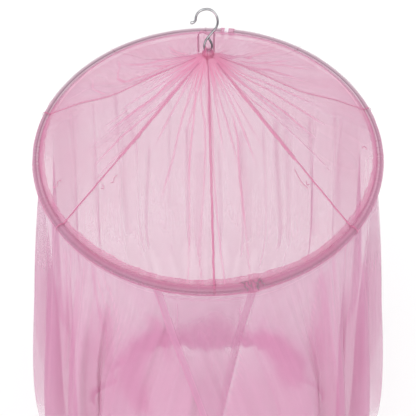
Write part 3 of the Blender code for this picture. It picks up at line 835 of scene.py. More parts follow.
gore_share = np.arange(CROWN_COLUMNS + 1) / CROWN_COLUMNS
flat = flat_map(gore_share[None, :] * math.tau * RIM_RADIUS, row_share[:, None] * SLOPE_LENGTH)
crown_cloth = cloth_piece("crown_cloth", places, flat, layers, crown_net, closed=True)
ride_and_stand(crown_cloth, [f"crown_gore_{i}" for i in range(1, 9)])
print("crown:", len(crown_cloth.data.polygons) * 2, "triangles,",
      round(cloth_area(crown_cloth), 3), "square metres")

# %% [markdown]
# ## Overlocked seams
#
# Each seam of the crown is a ridge of thread a few millimetres wide. It starts at the gather,
# follows the cloth down to the hoop and goes round the casing, where it is sewn off. A narrow
# strip with a rounded section does it, laid on the crown's surface. In its upper part the two
# rows of thread lie apart, and the seams at the back are fainter.

# %% Seam bindings
BINDING_WIDTHS = [         # in the upper part and further down, round from the front seam
    (0.0036, 0.0034), (0.0064, 0.0032), (0.0038, 0.0034), (0.0036, 0.0034),
    (0.0034, 0.0034), (0.0036, 0.0034), (0.0038, 0.0034), (0.0058, 0.0032),
]
BINDING_HEIGHT = 0.0011
FAINT_AT_BACK = 0.10                       # what is left of a seam's thread at the back
BINDING_SUNK = (0.75, 0.25, 0.45, 0.8, 0.8, 0.8, 0.45, 0.25)   # share lost in the casing's net
BINDING_WIDE_TO = 0.56                     # share of the slope where the wide part ends
BINDING_START = 0.03
BINDING_LIFT, BINDING_WOBBLE = 0.0006, 0.0004
BINDING_SECTION = np.linspace(-1.0, 1.0, 9)
BINDING_WRAP = np.linspace(150, -62, 22)   # degrees round the tube, over the casing
BINDING_WRAP_RADIUS = 0.0076


def seam_strip(index):
    """Places of a seam's strip, from the gather to under the casing."""
    upper, lower = BINDING_WIDTHS[index]
    rows = []
    for step in np.linspace(BINDING_START, 1.0, 150):
        narrow = mix(0.45, 1.0, ease(step / 0.25))
        wide = BINDING_SECTION * mix(upper, lower, rise(step, BINDING_WIDE_TO, 0.06)) / 2
        middle, azimuth = crown_place(index, step)
        aside = at_azimuth(azimuth + 90.0, 1.0, 0.0)
        outward = at_azimuth(azimuth, math.sin(SLOPE), math.cos(SLOPE))
        wobble = BINDING_WOBBLE * math.sin(step * 61 + index) * math.sin(step * 23)
        height = BINDING_LIFT + BINDING_HEIGHT * (1 - BINDING_SECTION ** 2)
        rows.append(middle + np.outer(wide * narrow + wobble, aside)
                    + np.outer(height * narrow, outward))
    azimuth = SEAMS[index, 0]
    for angle in BINDING_WRAP:
        reach = BINDING_WRAP_RADIUS + 0.5 * BINDING_HEIGHT * (1 - BINDING_SECTION ** 2)
        turned = azimuth + np.degrees(wide / HOOP_RADIUS)
        rows.append(at_azimuth(turned, HOOP_RADIUS + reach * math.cos(math.radians(angle)),
                               reach * math.sin(math.radians(angle))))
    return np.array(rows)


for index in range(8):
    strip = seam_strip(index)
    run = length_along(strip[:, 4])
    flat = flat_map(BINDING_SECTION[None, :] * BINDING_WIDTHS[index][0] / 2, run[:, None])
    parted = 0.42 * bell(BINDING_SECTION, 0.30)[None, :] * (run[:, None] < 0.6 * SLOPE_LENGTH)
    faint = mix(1.0, FAINT_AT_BACK, ease(at_back(SEAMS[index, 0]) / 0.6))
    wrapped = ease((run[:, None] - SLOPE_LENGTH) / 0.003) * BINDING_SUNK[index]
    seam_layers = faint * (1 - 0.35 * np.abs(BINDING_SECTION)[None, :] ** 3 - parted)
    seam_layers = seam_layers * (1 - wrapped)
    piece = cloth_piece(f"seam_{index + 1}", strip, flat, seam_layers, seam_binding)
    ride_and_stand(piece, [f"seam_binding_{index + 1}"])

# %% [markdown]
# ## The ragged seam allowance
#
# Inside the hoop the crown's cut edge is doubled and frayed, and shows as a deep pink band.
# It is a narrow ruffled strip that hangs close under the crown's rim.

# %% Seam allowance
ALLOWANCE_WIDTH, ALLOWANCE_DROP = 0.0078, 0.0019
ALLOWANCE_COLUMNS, ALLOWANCE_ROWS = 1440, 9
SWELL, CHANCE_SWELL, FRAY = 0.0012, 0.0011, 0.0010      # how its width changes, in metres
THIN_AT_BACK = 0.80

turn = np.arange(ALLOWANCE_COLUMNS) / ALLOWANCE_COLUMNS
width = ALLOWANCE_WIDTH + SWELL * np.sin(9 * math.tau * turn) + CHANCE_SWELL * chance_waves(turn, 60, 3)
width += FRAY * np.maximum(chance_waves(turn, 210, 4), 0.0)
row_share = np.linspace(1.0, 0.0, ALLOWANCE_ROWS)[:, None]     # 1 at the cut edge
down = 1.0 + CASING_MEETS - (width[None, :] / SLOPE_LENGTH + CASING_MEETS) * row_share
across = np.broadcast_to(turn * 8, down.shape)
places, azimuth = crown_place(across, down)
ruffle = 0.0006 * chance_waves(turn, 150, 6) + 0.0004 * chance_waves(turn, 320, 7)
off_crown = ALLOWANCE_DROP + ruffle[None, :] * row_share
places = places + grid_normals(places, closed=True) * off_crown[..., None]
columns = np.arange(ALLOWANCE_COLUMNS + 1)[None, :]
flat = flat_map(columns / ALLOWANCE_COLUMNS * math.tau * RIM_RADIUS, (1 - row_share) * ALLOWANCE_WIDTH)
allowance_layers = 0.9 - 0.45 * row_share ** 2 + 0.9 * (row_share > 0.9)
allowance_layers = allowance_layers + 0.20 * chance_waves(turn, 90, 8)[None, :]
far_side = ease(at_back(azimuth) / 0.6)
allowance_layers = allowance_layers * (1 - THIN_AT_BACK * far_side)
allowance = cloth_piece("seam_allowance", places, flat, allowance_layers, seam_tape, closed=True)
ride_and_stand(allowance, ["crown_seam_tape"])
print("seam allowance", round(float(width.min() * 1000), 1), "to",
      round(float(width.max() * 1000), 1), "mm wide")

# %% [markdown]
# ## Hoop and joint
#
# The hoop is a thin coated tube bent to a ring. Its two ends meet in a short plastic sleeve
# at the back, the one place where the casing leaves it bare. The satin coat's colour is painted reflection:
# bands that run along the tube and move round it from the near side to the far one, with painted shade that
# makes them darker in front. So the mesh carries the place on the ramp of painted bands, and how dark the
# painted shade makes them, as values on its points.

# %% Hoop tube and sleeve
TUBE_STATIONS, TUBE_SIDES = 240, 40
PAINTED_BANDS_TURN = 0.27          # of the whole round, that the painted reflection bands have turned in front
# painted shade: how much darker the painted bands are in front
PAINTED_SHADE_IN_FRONT = 0.62
JOINT_START, JOINT_END = 79.5, 84.5        # the sleeve's azimuths
JOINT_INSET = 0.12
SLEEVE_GAP, SLEEVE_WALL, SLEEVE_LIP = 0.0003, 0.0010, 0.0004
SLEEVE_STATIONS, SLEEVE_SIDES = 24, 24


def ring_outline(azimuth, radius, sides):
    """One closed outline about the tube's middle line."""
    turns = np.arange(sides) / sides * math.tau
    outward = HOOP_RADIUS + radius * np.cos(turns)
    return at_azimuth(azimuth, outward, radius * np.sin(turns))


azimuths = np.arange(TUBE_STATIONS) * 360 / TUBE_STATIONS
outlines = [ring_outline(azimuth, TUBE_RADIUS, TUBE_SIDES) for azimuth in azimuths]
tube_mesh = grid_mesh("hoop_tube", np.array(outlines), True, True)[0]
# the painted reflection bands turn round the tube towards the front
turned = PAINTED_BANDS_TURN * ((1 - np.sin(np.radians(azimuths))) / 2) ** 1.7
share = (np.arange(TUBE_SIDES) / TUBE_SIDES + 0.25) % 1 - 0.25
carry(tube_mesh, "round", turned[:, None] + share[None, :])
# painted shade that darkens the tube in front
dim = PAINTED_SHADE_IN_FRONT * ease((in_front(azimuths) - 0.3) / 0.6)
carry(tube_mesh, "dim", np.repeat(dim, TUBE_SIDES))
ride_and_stand(add_piece("hoop_tube", tube_mesh, coated_tube), ["hoop"])

azimuths = np.linspace(JOINT_START + JOINT_INSET, JOINT_END - JOINT_INSET, SLEEVE_STATIONS)
inside = TUBE_RADIUS + SLEEVE_GAP
outlines = [ring_outline(azimuth, inside, SLEEVE_SIDES) for azimuth in azimuths]
for azimuth in azimuths[::-1]:
    to_end = min(azimuth - azimuths[0], azimuths[-1] - azimuth)
    lip = SLEEVE_LIP * (1 - rise(to_end, 0.25, 0.15))
    outlines.append(ring_outline(azimuth, inside + SLEEVE_WALL + lip, SLEEVE_SIDES))
sleeve_mesh = grid_mesh("hoop_sleeve", np.array(outlines), True, True)[0]
sleeve_mesh.set_sharp_from_angle(angle=math.radians(40))
ride_and_stand(add_piece("hoop_sleeve", sleeve_mesh, milky_plastic), ["hoop_connector"])
print("hoop", round(2 * HOOP_RADIUS, 3), "m across, tube", round(2000 * TUBE_RADIUS, 1), "mm")

# %% [markdown]
# ## The casing
#
# A sleeve of net goes round the tube and is sewn shut under it, with a short doubled tab
# below. The net was cut a little longer than the hoop, so it is ruched: small folds cross the
# tube, and long slack ones run along it. It is one sheet, folded round: up one side of the
# tab, round the tube and down again. Its ends lap over the plastic sleeve at the back. At one
# place in front it is bunched where its lengths are stitched together.

# %% Casing
CASING_STATIONS, CASING_ROUND = 1500, 30
BARE_START, BARE_END = 81.6, 83.2          # the casing's ends reach over the sleeve to here
BUNCH_AZIMUTH, BUNCH_WIDTH, BUNCH_LIFT = 282.0, 2.2, 0.0017
STEP_AZIMUTH, STEP_WIDTH, STEP_LIFT = 165.5, 1.2, 0.0006       # one length laps over the next
SLEEVE_LIFT = 0.0010
TAB_HALF = 0.0004          # half the distance between the tab's two layers
TAB_DEPTHS = np.array([1.0, 0.92, 0.84, 0.5, 0.12])
TAB_ROWS = len(TAB_DEPTHS)
SEAM_ANGLE = 0.07          # radians beside the tube's lowest line where the net leaves it
# where the net hangs slack in front: share of the way round, its width and how far
SLACK_OUTSIDE, SLACK_INSIDE = (0.22, 0.16, 0.0020), (0.64, 0.13, 0.0010)
TOP_SHARE, TOP_WIDTH, TOP_LAYERS, FRONT_LAYERS = 0.53, 0.11, 1.4, 0.5
SLEEVE_LAYERS, STITCH_LAYERS, TAB_LAYERS, CASING_THINNED = 1.8, 2.6, 0.50, 0.80

azimuths = np.linspace(BARE_END, BARE_START + 360, CASING_STATIONS)
turn = (azimuths - azimuths[0]) / 360
angles = np.linspace(-math.pi / 2 + SEAM_ANGLE, 1.5 * math.pi - SEAM_ANGLE, CASING_ROUND)
low = -CASING_RADIUS
profile = np.array([(TAB_HALF, low - CASING_TAB * depth) for depth in TAB_DEPTHS]
                   + [(CASING_RADIUS * math.cos(a), CASING_RADIUS * math.sin(a)) for a in angles]
                   + [(-TAB_HALF, low - CASING_TAB * depth) for depth in TAB_DEPTHS[::-1]])
run = length_along(profile)
on_tube = np.array([0.0] * TAB_ROWS + [1.0] * CASING_ROUND + [0.0] * TAB_ROWS)
round_share = np.interp(run, run[[TAB_ROWS, TAB_ROWS + CASING_ROUND - 1]], [0.0, 1.0])[None, :]

ruche = 0.00012 * chance_waves(turn, 120, 11) + 0.00010 * chance_waves(turn, 330, 12)
slack_waves = chance_waves(turn, 26, 13)[:, None]
slack_turn = 2 * round_share + 0.3 * chance_waves(turn, 9, 14)[:, None]
slack = slack_waves * np.sin(math.tau * slack_turn) * 0.00035
bunch = bell(azimuths - BUNCH_AZIMUTH, BUNCH_WIDTH)
over_sleeve = ease((JOINT_END + 0.5 - azimuths) / 0.5) + ease((azimuths - JOINT_START - 359.5) / 0.5)
puff = SLEEVE_LIFT * over_sleeve + BUNCH_LIFT * bunch * (1 + 0.5 * np.sin(azimuths * 9.0))
puff = puff + STEP_LIFT * bell(azimuths - STEP_AZIMUTH, STEP_WIDTH)
front, back = in_front(azimuths)[:, None], at_back(azimuths)[:, None]
hangs = sum(most * bell(round_share - place, width)
            for place, width, most in (SLACK_OUTSIDE, SLACK_INSIDE)) * front
lifted = 1 + (ruche[:, None] + slack + hangs + puff[:, None]) * on_tube / CASING_RADIUS
below = ease((-profile[None, :, 1] - CASING_RADIUS) / CASING_TAB)
sway = 0.0009 * chance_waves(turn, 70, 15)[:, None] * (1 - on_tube)[None, :] * below
places = at_azimuth(azimuths[:, None], HOOP_RADIUS + profile[None, :, 0] * lifted + sway,
                    profile[None, :, 1] * lifted)
flat = flat_map(turn[:, None] * math.tau * HOOP_RADIUS * 1.12, run[None, :])

casing_layers = 1.0 + 0.35 * np.maximum(chance_waves(turn, 160, 16), 0)[:, None] + 1.4 * bunch[:, None]
casing_layers = casing_layers * (1 - CASING_THINNED * ease(back / 0.45))
casing_layers = casing_layers + SLEEVE_LAYERS * over_sleeve[:, None]
on_top = bell(round_share - TOP_SHARE, TOP_WIDTH)
casing_layers = casing_layers + (FRONT_LAYERS + TOP_LAYERS * on_top) * front
casing_layers = mix(TAB_LAYERS, casing_layers, on_tube[None, :])
stitch_row = np.isin(np.arange(len(run)), (1, len(run) - 2))
casing_layers = casing_layers + STITCH_LAYERS * stitch_row[None, :]
casing = cloth_piece("hoop_casing_net", places, flat, casing_layers, casing_net)
ride_and_stand(casing, ["hoop_casing"])

tab_azimuths = np.linspace(JOINT_START - 0.2, JOINT_END + 0.2, 24)[None, :]
tab_heights = np.linspace(low, low - CASING_TAB, 6)[:, None]
tab_places = at_azimuth(tab_azimuths, HOOP_RADIUS + 2 * TAB_HALF, tab_heights)
tab_flat = flat_map(np.radians(tab_azimuths) * HOOP_RADIUS, -tab_heights)
joint_tab = cloth_piece("casing_tab_at_joint", tab_places, tab_flat, np.ones((6, 24)), casing_net)
ride_and_stand(joint_tab, [])
print("casing:", len(casing.data.polygons) * 2, "triangles, strip", round(float(run[-1]) * 1000), "mm wide")

# %% [markdown]
# ## The shape of the wall
#
# The wall spreads from the hoop like a cone, because its lower edge is much longer than the
# hoop, and over the last metre it falls in again to its hem, which trails forward at the
# back. Its folds are narrow under the casing and deepen on the way down. In front its two
# free edges lie over each other and fall aside: that is the way in. The sums are those of the
# hard model, but for the far hem, which lies a few centimetres further in.

# %% Wall surface
WALL_LENGTH = 2.10
FOLDS_PER_PANEL, FOLDS = 3, 24
FOLD_DEPTH, FOLD_RUN, FOLD_LEAN = 0.055, 0.80, 0.22     # how deep, over what depth, how slanted
BELL_FLARE, BELL_REACH, BELL_KNEE = 0.285, 1.40, 4.0    # how fast, how far down and how sharply
HEM_START, HEM_RUN, HEM_DRAW = 1.20, 0.90, 0.12         # where the wall falls in again
TRAIL_START, TRAIL_RUN, TRAIL_REACH = 1.45, 0.65, 0.28  # where its back trails forward
PANELS = np.array([        # start, depth of folds, crowding and lower edge
    (255.2, 0.80, 0.10, 0.004), (318.4, 1.10, -0.14, -0.005), (371.3, 0.92, 0.12, 0.003),
    (411.5, 0.84, -0.10, -0.004), (451.0, 0.96, 0.15, 0.006), (490.5, 0.82, -0.08, -0.002),
    (531.0, 1.06, 0.12, 0.005), (580.4, 0.90, -0.12, -0.003),
])
FRONT = 270.0
# the entrance's free edges: where each starts beside the middle, and how it falls aside
OUTER_EDGE = dict(start=-0.080, travel=0.280, run=1.25)
INNER_EDGE = dict(start=0.072, travel=-0.190, run=1.50)
LAYER_TOP, LAYER_LOW, LAYER_FALL = 0.0009, 0.0080, 0.10 # half the gap between their layers
LAYER_FOLDS, LAYER_FADE = 1.5, 1.3         # folds over which they lie apart
CALM_FOLDS, CROWD_FALL = 2.0, 0.4          # how soon folds are deep, and crowded together
HEM_SLACK, SLACK_HEIGHT = 0.045, 0.20      # how much further in the far hem lies than the folds
WALL_TOP = -(CASING_RADIUS + CASING_TAB + 0.0004)       # just under the casing's tab


def bell_radius(depth):
    """How far the wall hangs from the axis, but for its folds."""
    spread = BELL_REACH * (-np.expm1(-(depth / BELL_REACH) ** BELL_KNEE)) ** (1 / BELL_KNEE)
    return HOOP_RADIUS + BELL_FLARE * spread - HEM_DRAW * rise(depth, HEM_START, HEM_RUN)


def edge_aside(edge, depth):
    """How far beside the middle a free edge of the entrance hangs."""
    return edge["start"] + edge["travel"] * (1 - np.exp(-depth / edge["run"]))


def edge_azimuth(edge, depth):
    return FRONT + np.degrees(np.arcsin(edge_aside(edge, depth) / bell_radius(depth)))


def panel_depth(fold):
    """How deep the folds are, changing softly from panel to panel."""
    place = fold / FOLDS_PER_PANEL - 0.5
    index = np.floor(place).astype(int)
    here = PANELS[np.clip(index, 0, 7), 1]
    there = PANELS[np.clip(index + 1, 0, 7), 1]
    return mix(here, there, ease(place - index))


def wall_azimuth(fold, depth):
    """The middle azimuth of a place on the wall, before its fold leans, and its panel's share."""
    index = np.clip(np.floor(fold / FOLDS_PER_PANEL).astype(int), 0, 7)
    share = fold / FOLDS_PER_PANEL - index
    left = np.where(index == 0, edge_azimuth(OUTER_EDGE, depth), PANELS[index, 0])
    right = np.where(index == 7, edge_azimuth(INNER_EDGE, depth) + 360,
                     PANELS[np.clip(index + 1, 0, 7), 0])
    crowd = PANELS[index, 2] * np.sin(math.pi * share) ** 2 * ease(depth / CROWD_FALL)
    return mix(left, right, share + crowd), share, index


def wall_point(fold, depth):
    """Place on the wall: fold counts folds from the outer free edge, depth goes down."""
    azimuth, share, index = wall_azimuth(fold, depth)
    calm = ease(np.minimum(fold, FOLDS - fold) / CALM_FOLDS)
    ripple = FOLD_DEPTH * (1 - np.exp(-depth / FOLD_RUN)) * panel_depth(fold) * calm
    back = at_back(azimuth)
    ripple = ripple * (1 - 0.40 * back) * (1 - 0.75 * back * rise(depth, 1.6, 0.35))
    layer = mix(LAYER_TOP, LAYER_LOW, ease(depth / LAYER_FALL))
    layer = layer * (ease((FOLDS - fold - LAYER_FOLDS) / LAYER_FADE)
                     - rise(fold, LAYER_FOLDS, LAYER_FADE))
    radius = bell_radius(depth) + layer - ripple * np.cos(math.tau * fold)
    lean = -np.degrees(FOLD_LEAN * ripple / radius) * np.sin(math.tau * fold)
    low = PANELS[index, 3] * np.sin(math.pi * share) ** 2 * ease(depth / WALL_LENGTH)
    azimuth = azimuth + lean
    back = at_back(azimuth)
    radius -= TRAIL_REACH * rise(depth, TRAIL_START, TRAIL_RUN) * back ** 2
    radius -= HEM_SLACK * ease((depth - WALL_LENGTH + SLACK_HEIGHT) / SLACK_HEIGHT) * ease(back / 0.4)
    return at_azimuth(azimuth, radius, WALL_TOP - depth + low)


print("the wall hangs", WALL_LENGTH, "m below the hoop and is",
      round(2 * float(bell_radius(WALL_LENGTH)), 2), "m across at the hem")

# %% [markdown]
# ## The wall's net
#
# Over the main folds lie finer ones, since the net is gathered into the casing. They are
# waves of chance round the canopy that drift a little on their way down, a few millimetres
# deep, and fine pleats that start at the casing and die out below it. The far side, seen
# through the crown, hangs smooth. Where the net doubles in a fold it shows as a streak, and the longer ones
# are listed like the creases of the crown.

# %% Streaks of the wall
# (width in millimetres, layers it adds, its run down the wall as azimuth and depth)
WALL_STREAKS = [
    (22, 0.9, [(209, .08), (208, .35), (209, .90)]),
    (3, 0.9, [(213, .12), (209.5, .20), (208, .30), (208, .50)]),
    (30, 0.5, [(219.5, .05), (219, .20), (217, .40), (216, .80)]),
    (14, 1.1, [(228, .06), (227.5, .20), (225.8, .32), (224, .60)]),
    (28, 1.4, [(237, .12), (238.5, .22), (241, .36)]),
    (5, 1.6, [(220.2, .05), (219.2, .23), (218, .50)]),
    (4, 1.6, [(224.2, .02), (222.2, .20), (221, .46)]),
    (4, 1.5, [(230.8, .02), (229.2, .19), (228, .39)]),
    (5, 2.0, [(234, .01), (235.8, .15), (238, .31)]),
    (5, 1.6, [(309.8, .01), (310.5, .18), (312.2, .40)]),
    (5, 1.6, [(316, .01), (318, .21), (319.8, .47)]),
    (5, 1.6, [(323, .01), (325.8, .24), (327.2, .52)]),
    (3, 1.5, [(235.2, .02), (237.5, .10), (240, .18), (242, .32)]),
    (3, 1.5, [(237.8, .02), (242.8, .15), (246, .29)]),
    # this streak and the next are painted fold shadow: wide, dense, soft patches on the near wall
    (42, 5.0, [(255, .12), (251, .17), (247.4, .22), (247, .30), (250, .42)]),
    (25, 3.0, [(254, .08), (256.5, .127), (258.2, .18)]),
    (3, 1.1, [(261.2, .02), (261.2, .09), (261.5, .25)]),
    (34, 1.2, [(268, .07), (269, .10), (270, .15)]),
    (3, 1.1, [(279, .02), (279, .25)]),
    (20, 0.9, [(285, .06), (285.5, .13)]),
    # painted fold shadow: a wide, dense, soft patch on the near wall
    (40, 7.5, [(285.0, .10), (289.5, .15), (292.8, .20), (294.0, .26)]),
    (3, 1.4, [(305, .017), (302.5, .083), (301.5, .18), (300, .32)]),
    (32, 1.7, [(305.6, .03), (305.5, .12), (304, .25), (303, .45)]),
    (3, 0.9, [(308.3, .06), (309.5, .22)]),
    (40, 0.7, [(315.8, .05), (315.5, .20), (314, .40), (312, .70)]),
    (3, 1.1, [(321, .08), (319.3, .32), (317, .50)]),
    (22, 0.4, [(325, .08), (324.5, .30), (324, .80)]),
    (9, 0.55, [(155, .05), (153.8, .25), (155.2, .44), (155, .90)]),
    (13, 0.35, [(151, .10), (150.2, .50), (150, 1.0)]),
    (6, 0.5, [(142, .10), (142.2, .46), (141.5, .97)]),
    (6, 0.6, [(130.8, .10), (129.5, .45), (128.5, 1.20)]),
    (14, 0.3, [(126.5, .30), (124.5, 1.20)]),
    (6, 0.6, [(125.2, .20), (120.8, .44), (119.8, 1.40)]),
    (6, 0.6, [(114.5, .48), (117, 1.44)]),
    (5, 0.4, [(106.5, .22), (107, .96)]),
    (6, 0.6, [(98.5, .40), (98.8, 1.55)]),
    (20, 0.3, [(93.5, .54), (94.8, 1.60)]),
    (8, 0.4, [(85.5, .54), (84, 1.60)]),
    (6, 0.6, [(76.2, .39), (73.5, 1.52)]),
    (16, 0.3, [(75, .39), (71.5, 1.40)]),
    (6, 0.5, [(67.2, .36), (63.5, 1.55)]),
    (7, 0.7, [(60.8, .28), (58, 1.39)]),
    (14, 0.4, [(57, .22), (54.5, 1.24)]),
    (6, 0.5, [(53.8, .25), (52.2, 1.20)]),
    (7, 0.7, [(46, .21), (45, .97)]),
    (12, 0.4, [(43.2, .19), (41, .91)]),
    (6, 0.7, [(33, .10), (32.2, .60)]),
    (12, 0.5, [(27.5, .10), (27, .53)]),
]


def streak_mark(width, run, azimuth, depth):
    """How strongly a streak marks each point of the wall, from 0 to 1."""
    aside = np.radians(away_from(run, azimuth, depth)) * bell_radius(depth)
    ends = ease((depth - run[0][1]) / 0.04 + 0.5) * ease((run[-1][1] - depth) / 0.10 + 0.5)
    return bell(aside, width / 2000) * ends


print(len(WALL_STREAKS), "streaks placed by hand")

# %% Folds of the wall
WALL_COLUMNS, WALL_ROWS = 24 * 48, 80
GATHER_DEPTH, GATHER_FALL = 0.0045, 0.35
PLEAT_DEPTH, PLEAT_MORE, PLEAT_FALL, PLEAT_FADE = 0.0006, 0.0022, 0.12, 0.9
CALM_AT_BACK, CALM_BESIDE = 0.97, 0.7      # how much of the finer folds is gone there


def azimuth_of(places):
    return np.degrees(np.arctan2(places[..., 1], places[..., 0])) % 360


def sideways_at(azimuth):
    """1 at the sides of the canopy, 0 in front and at the back."""
    return np.abs(np.cos(np.radians(azimuth)))


fold_line = np.linspace(0, FOLDS, WALL_COLUMNS + 1)
depth_line = WALL_LENGTH * np.linspace(0.0, 1.0, WALL_ROWS) ** 1.35
fold, depth = np.meshgrid(fold_line, depth_line)
turn = fold / FOLDS
places = wall_point(fold, depth)
azimuth = azimuth_of(places)

drift = 0.006 * depth * chance_waves(turn, 5, 21)
gathers = chance_waves(turn + drift, 70, 22) * GATHER_DEPTH * ease(depth / GATHER_FALL)
pleats = chance_waves(turn + 0.6 * drift, 150, 23) * (PLEAT_DEPTH + PLEAT_MORE * ease(depth / PLEAT_FALL))
finer = (gathers + pleats * np.exp(-depth / PLEAT_FADE)) * ease(np.minimum(fold, FOLDS - fold) / 0.35)
finer *= 1 - CALM_AT_BACK * ease(at_back(azimuth) / 0.4)
finer *= 1 - CALM_BESIDE * ease((sideways_at(azimuth) - 0.80) / 0.12)
places = places + grid_normals(places, closed=False) * finer[..., None]
across_run = length_along(places, axis=1)
print("finer folds up to", round(float(np.abs(finer).max() * 1000), 1), "mm deep")

# %% [markdown]
# ## How dense the wall is
#
# The number of layers is a sum of what lies on each other at a place: the close gathers under the casing,
# the folds of the near side, chance streaks and the placed ones, the bunched hem. Three wide placed streaks
# in front are painted fold shadow, and the hem's extra layers are also painted shadow of the hem on the
# floor.
# Where the net is stretched or hangs single there is less of it.

# %% Wall cloth
NEAR_LAYERS, NEAR_START, NEAR_RUN, NEAR_END, NEAR_FADE = 2.7, 0.06, 0.24, 0.9, 0.4
FAR_STREAKS = 1.45         # the placed streaks at the back are that much wider and denser
SIDE_THINNED, SIDE_BACK_LAYERS = 0.62, 0.45
LAP_THINNED, LAP_SOFT = 0.46, 0.006        # where the free edges lap, each is gathered less
BLOT_LAYERS, BLOT_START, BLOT_RUN = 4.2, 1.84, 0.16     # the lowest hand's breadth, bunched, and darker also as painted shadow of the hem on the floor
END_THINNED, END_HEIGHT = 0.95, 0.08
FLAT_PER_FOLD = 0.24

azimuth = azimuth_of(places)
back, front, sideways = at_back(azimuth), in_front(azimuth), sideways_at(azimuth)
far_side = ease(back / 0.3)
edge = np.minimum(np.minimum(across_run, across_run[:, -1:] - across_run), 2.5 * (WALL_LENGTH - depth))
edge = edge + 0.05 * back * (depth > 1.5)  # at the far side the hem's stitches don't show
sharp, fine = (np.maximum(chance_waves(turn + share * drift, cycles, seed), 0.0) ** 2
               for share, cycles, seed in ((1.0, 120, 24), (0.8, 300, 26)))
layers = 1.0 + 0.1 * back + mix(0.8, 0.5, back) * np.exp(-depth / mix(0.5, 1.0, back))
near_folds = rise(depth, NEAR_START, NEAR_RUN) * ease(front / 0.45)
layers += NEAR_LAYERS * near_folds * (1 - rise(depth, NEAR_END, NEAR_FADE))
streaky = mix(0.45 + 0.7 * sideways ** 2, 0.02 + 0.1 * sideways ** 2, far_side)
layers += streaky * (sharp + 0.7 * fine * (1 - back)) * ease(1.5 - depth)
for width, added, run in WALL_STREAKS:
    far = 1.0 if run[0][0] > 180 else FAR_STREAKS
    layers += far * added * streak_mark(width * far, run, azimuth, depth)
thinned = rise(sideways, 0.70, 0.22) * ease(depth / 0.12) * (1 - far_side)
layers *= 1 - SIDE_THINNED * thinned
layers += SIDE_BACK_LAYERS * rise(sideways, 0.80, 0.12) * far_side * ease(1.3 - depth)
aside = bell_radius(depth) * np.cos(np.radians(azimuth))
lapped = (front > 0) * ease((aside - edge_aside(OUTER_EDGE, depth)) / LAP_SOFT)
lapped *= ease((edge_aside(INNER_EDGE, depth) - aside) / LAP_SOFT)
layers *= 1 - LAP_THINNED * lapped
# the bunched hem, denser and darker also as painted shadow of the hem on the floor, most at the sides
blots = 0.75 + 0.5 * chance_waves(turn, 9, 25) + 0.9 * rise(sideways, 0.25, 0.3)
begins = BLOT_START + 0.11 * rise(sideways, 0.25, 0.35) + 0.04 * chance_waves(turn, 7, 27)
layers += BLOT_LAYERS * rise(depth, begins, BLOT_RUN) * np.maximum(blots, 0.4)
layers *= 1 - END_THINNED * back * ease((depth - WALL_LENGTH + END_HEIGHT) / END_HEIGHT)

flat = flat_map(fold_line[None, :] * FLAT_PER_FOLD, depth_line[:, None])
wall_cloth = cloth_piece("wall_cloth", places, flat, layers, wall_net, edge=edge)
ride_and_stand(wall_cloth, [f"wall_panel_{i}" for i in range(1, 9)])
print("wall:", len(wall_cloth.data.polygons) * 2, "triangles,", round(cloth_area(wall_cloth), 2),
      "square metres, hem", round(float(across_run[-1, -1]), 2), "m long")

# %% [markdown]
# ## Hook
#
# The hook is one piece of plated wire: a bead at the tip, a crown that goes over the ceiling
# hook, a shank that curls back, and an eye through the gather. A curve through the same
# points as the hard model gives it, with more steps so that it shines smoothly.

# %% Hook
WIRE_RADIUS = 0.0015
HOOK_ROUTE = np.array([
    (-24.3, 223.8), (-20.4, 224.2), (-17.3, 227.6), (-16.6, 232.5), (-14.6, 237.6), (-10.6, 241.9),
    (-5.0, 244.3), (0.8, 244.4), (6.0, 242.0), (10.2, 237.4), (12.8, 230.8), (13.4, 223.6),
    (11.2, 215.9), (6.6, 209.4), (1.6, 202.9), (-2.6, 197.1), (-4.9, 191.0), (-5.2, 184.8),
    (-3.4, 180.0), (0.4, 178.2), (4.2, 180.0), (5.9, 184.8), (4.5, 190.6), (0.9, 198.2),
]) / 1000
WIRE_APART = 0.0018        # the eye's two legs pass this far before and behind the hook's plane
BEAD = [                   # the rounded tip: metres from the wire's end, and the wire's scale
    (0.0, 0.62), (0.0003, 0.95), (0.0012, 1.25), (0.0026, 1.22), (0.0042, 1.02), (0.0054, 1.0),
]
LEAN_START, LEAN_RUN, SWING_START, SWING_RUN = 13, 4, 18, 3


def smooth_run(knots, steps=8):
    """Points of a smooth curve through the knots."""
    padded = np.concatenate([knots[:1], knots, knots[-1:]])
    points = []
    for i in range(len(knots) - 1):
        a, b, c, d = padded[i:i + 4]
        for t in np.arange(steps) / steps:
            points.append(0.5 * (2 * b + (c - a) * t + (2 * a - 5 * b + 4 * c - d) * t ** 2
                                 + (3 * b - a - 3 * c + d) * t ** 3))
    return np.array(points + [knots[-1]])


def wire_piece(name, runs, radius, material, scales=None):
    """Round wire or thread along one or more runs of points."""
    curve = bpy.data.curves.new(name, "CURVE")
    curve.dimensions = "3D"
    curve.bevel_depth, curve.bevel_resolution, curve.use_fill_caps = radius, 4, True
    for points in runs:
        spline = curve.splines.new("POLY")
        spline.points.add(len(points) - 1)
        spline.points.foreach_set("co", np.column_stack([points, np.ones(len(points))]).ravel())
        if scales is not None:
            spline.points.foreach_set("radius", scales)
    return add_piece(name, curve, material)


index = np.arange(len(HOOK_ROUTE))
lean = rise(index, LEAN_START, LEAN_RUN)
swing = rise(index, SWING_START, SWING_RUN)
knots = np.column_stack([HOOK_ROUTE[:, 0], WIRE_APART * (2 * swing - lean), HOOK_ROUTE[:, 1]])
wire = smooth_run(knots)
from_tip = length_along(wire)
bead = np.interp(from_tip, *np.array(BEAD).T)
hook = wire_piece("hook_wire", [wire], WIRE_RADIUS, chrome, bead)
ride_and_stand(hook, ["hook"])
print("hook wire", round(float(from_tip[-1]), 3), "m long")

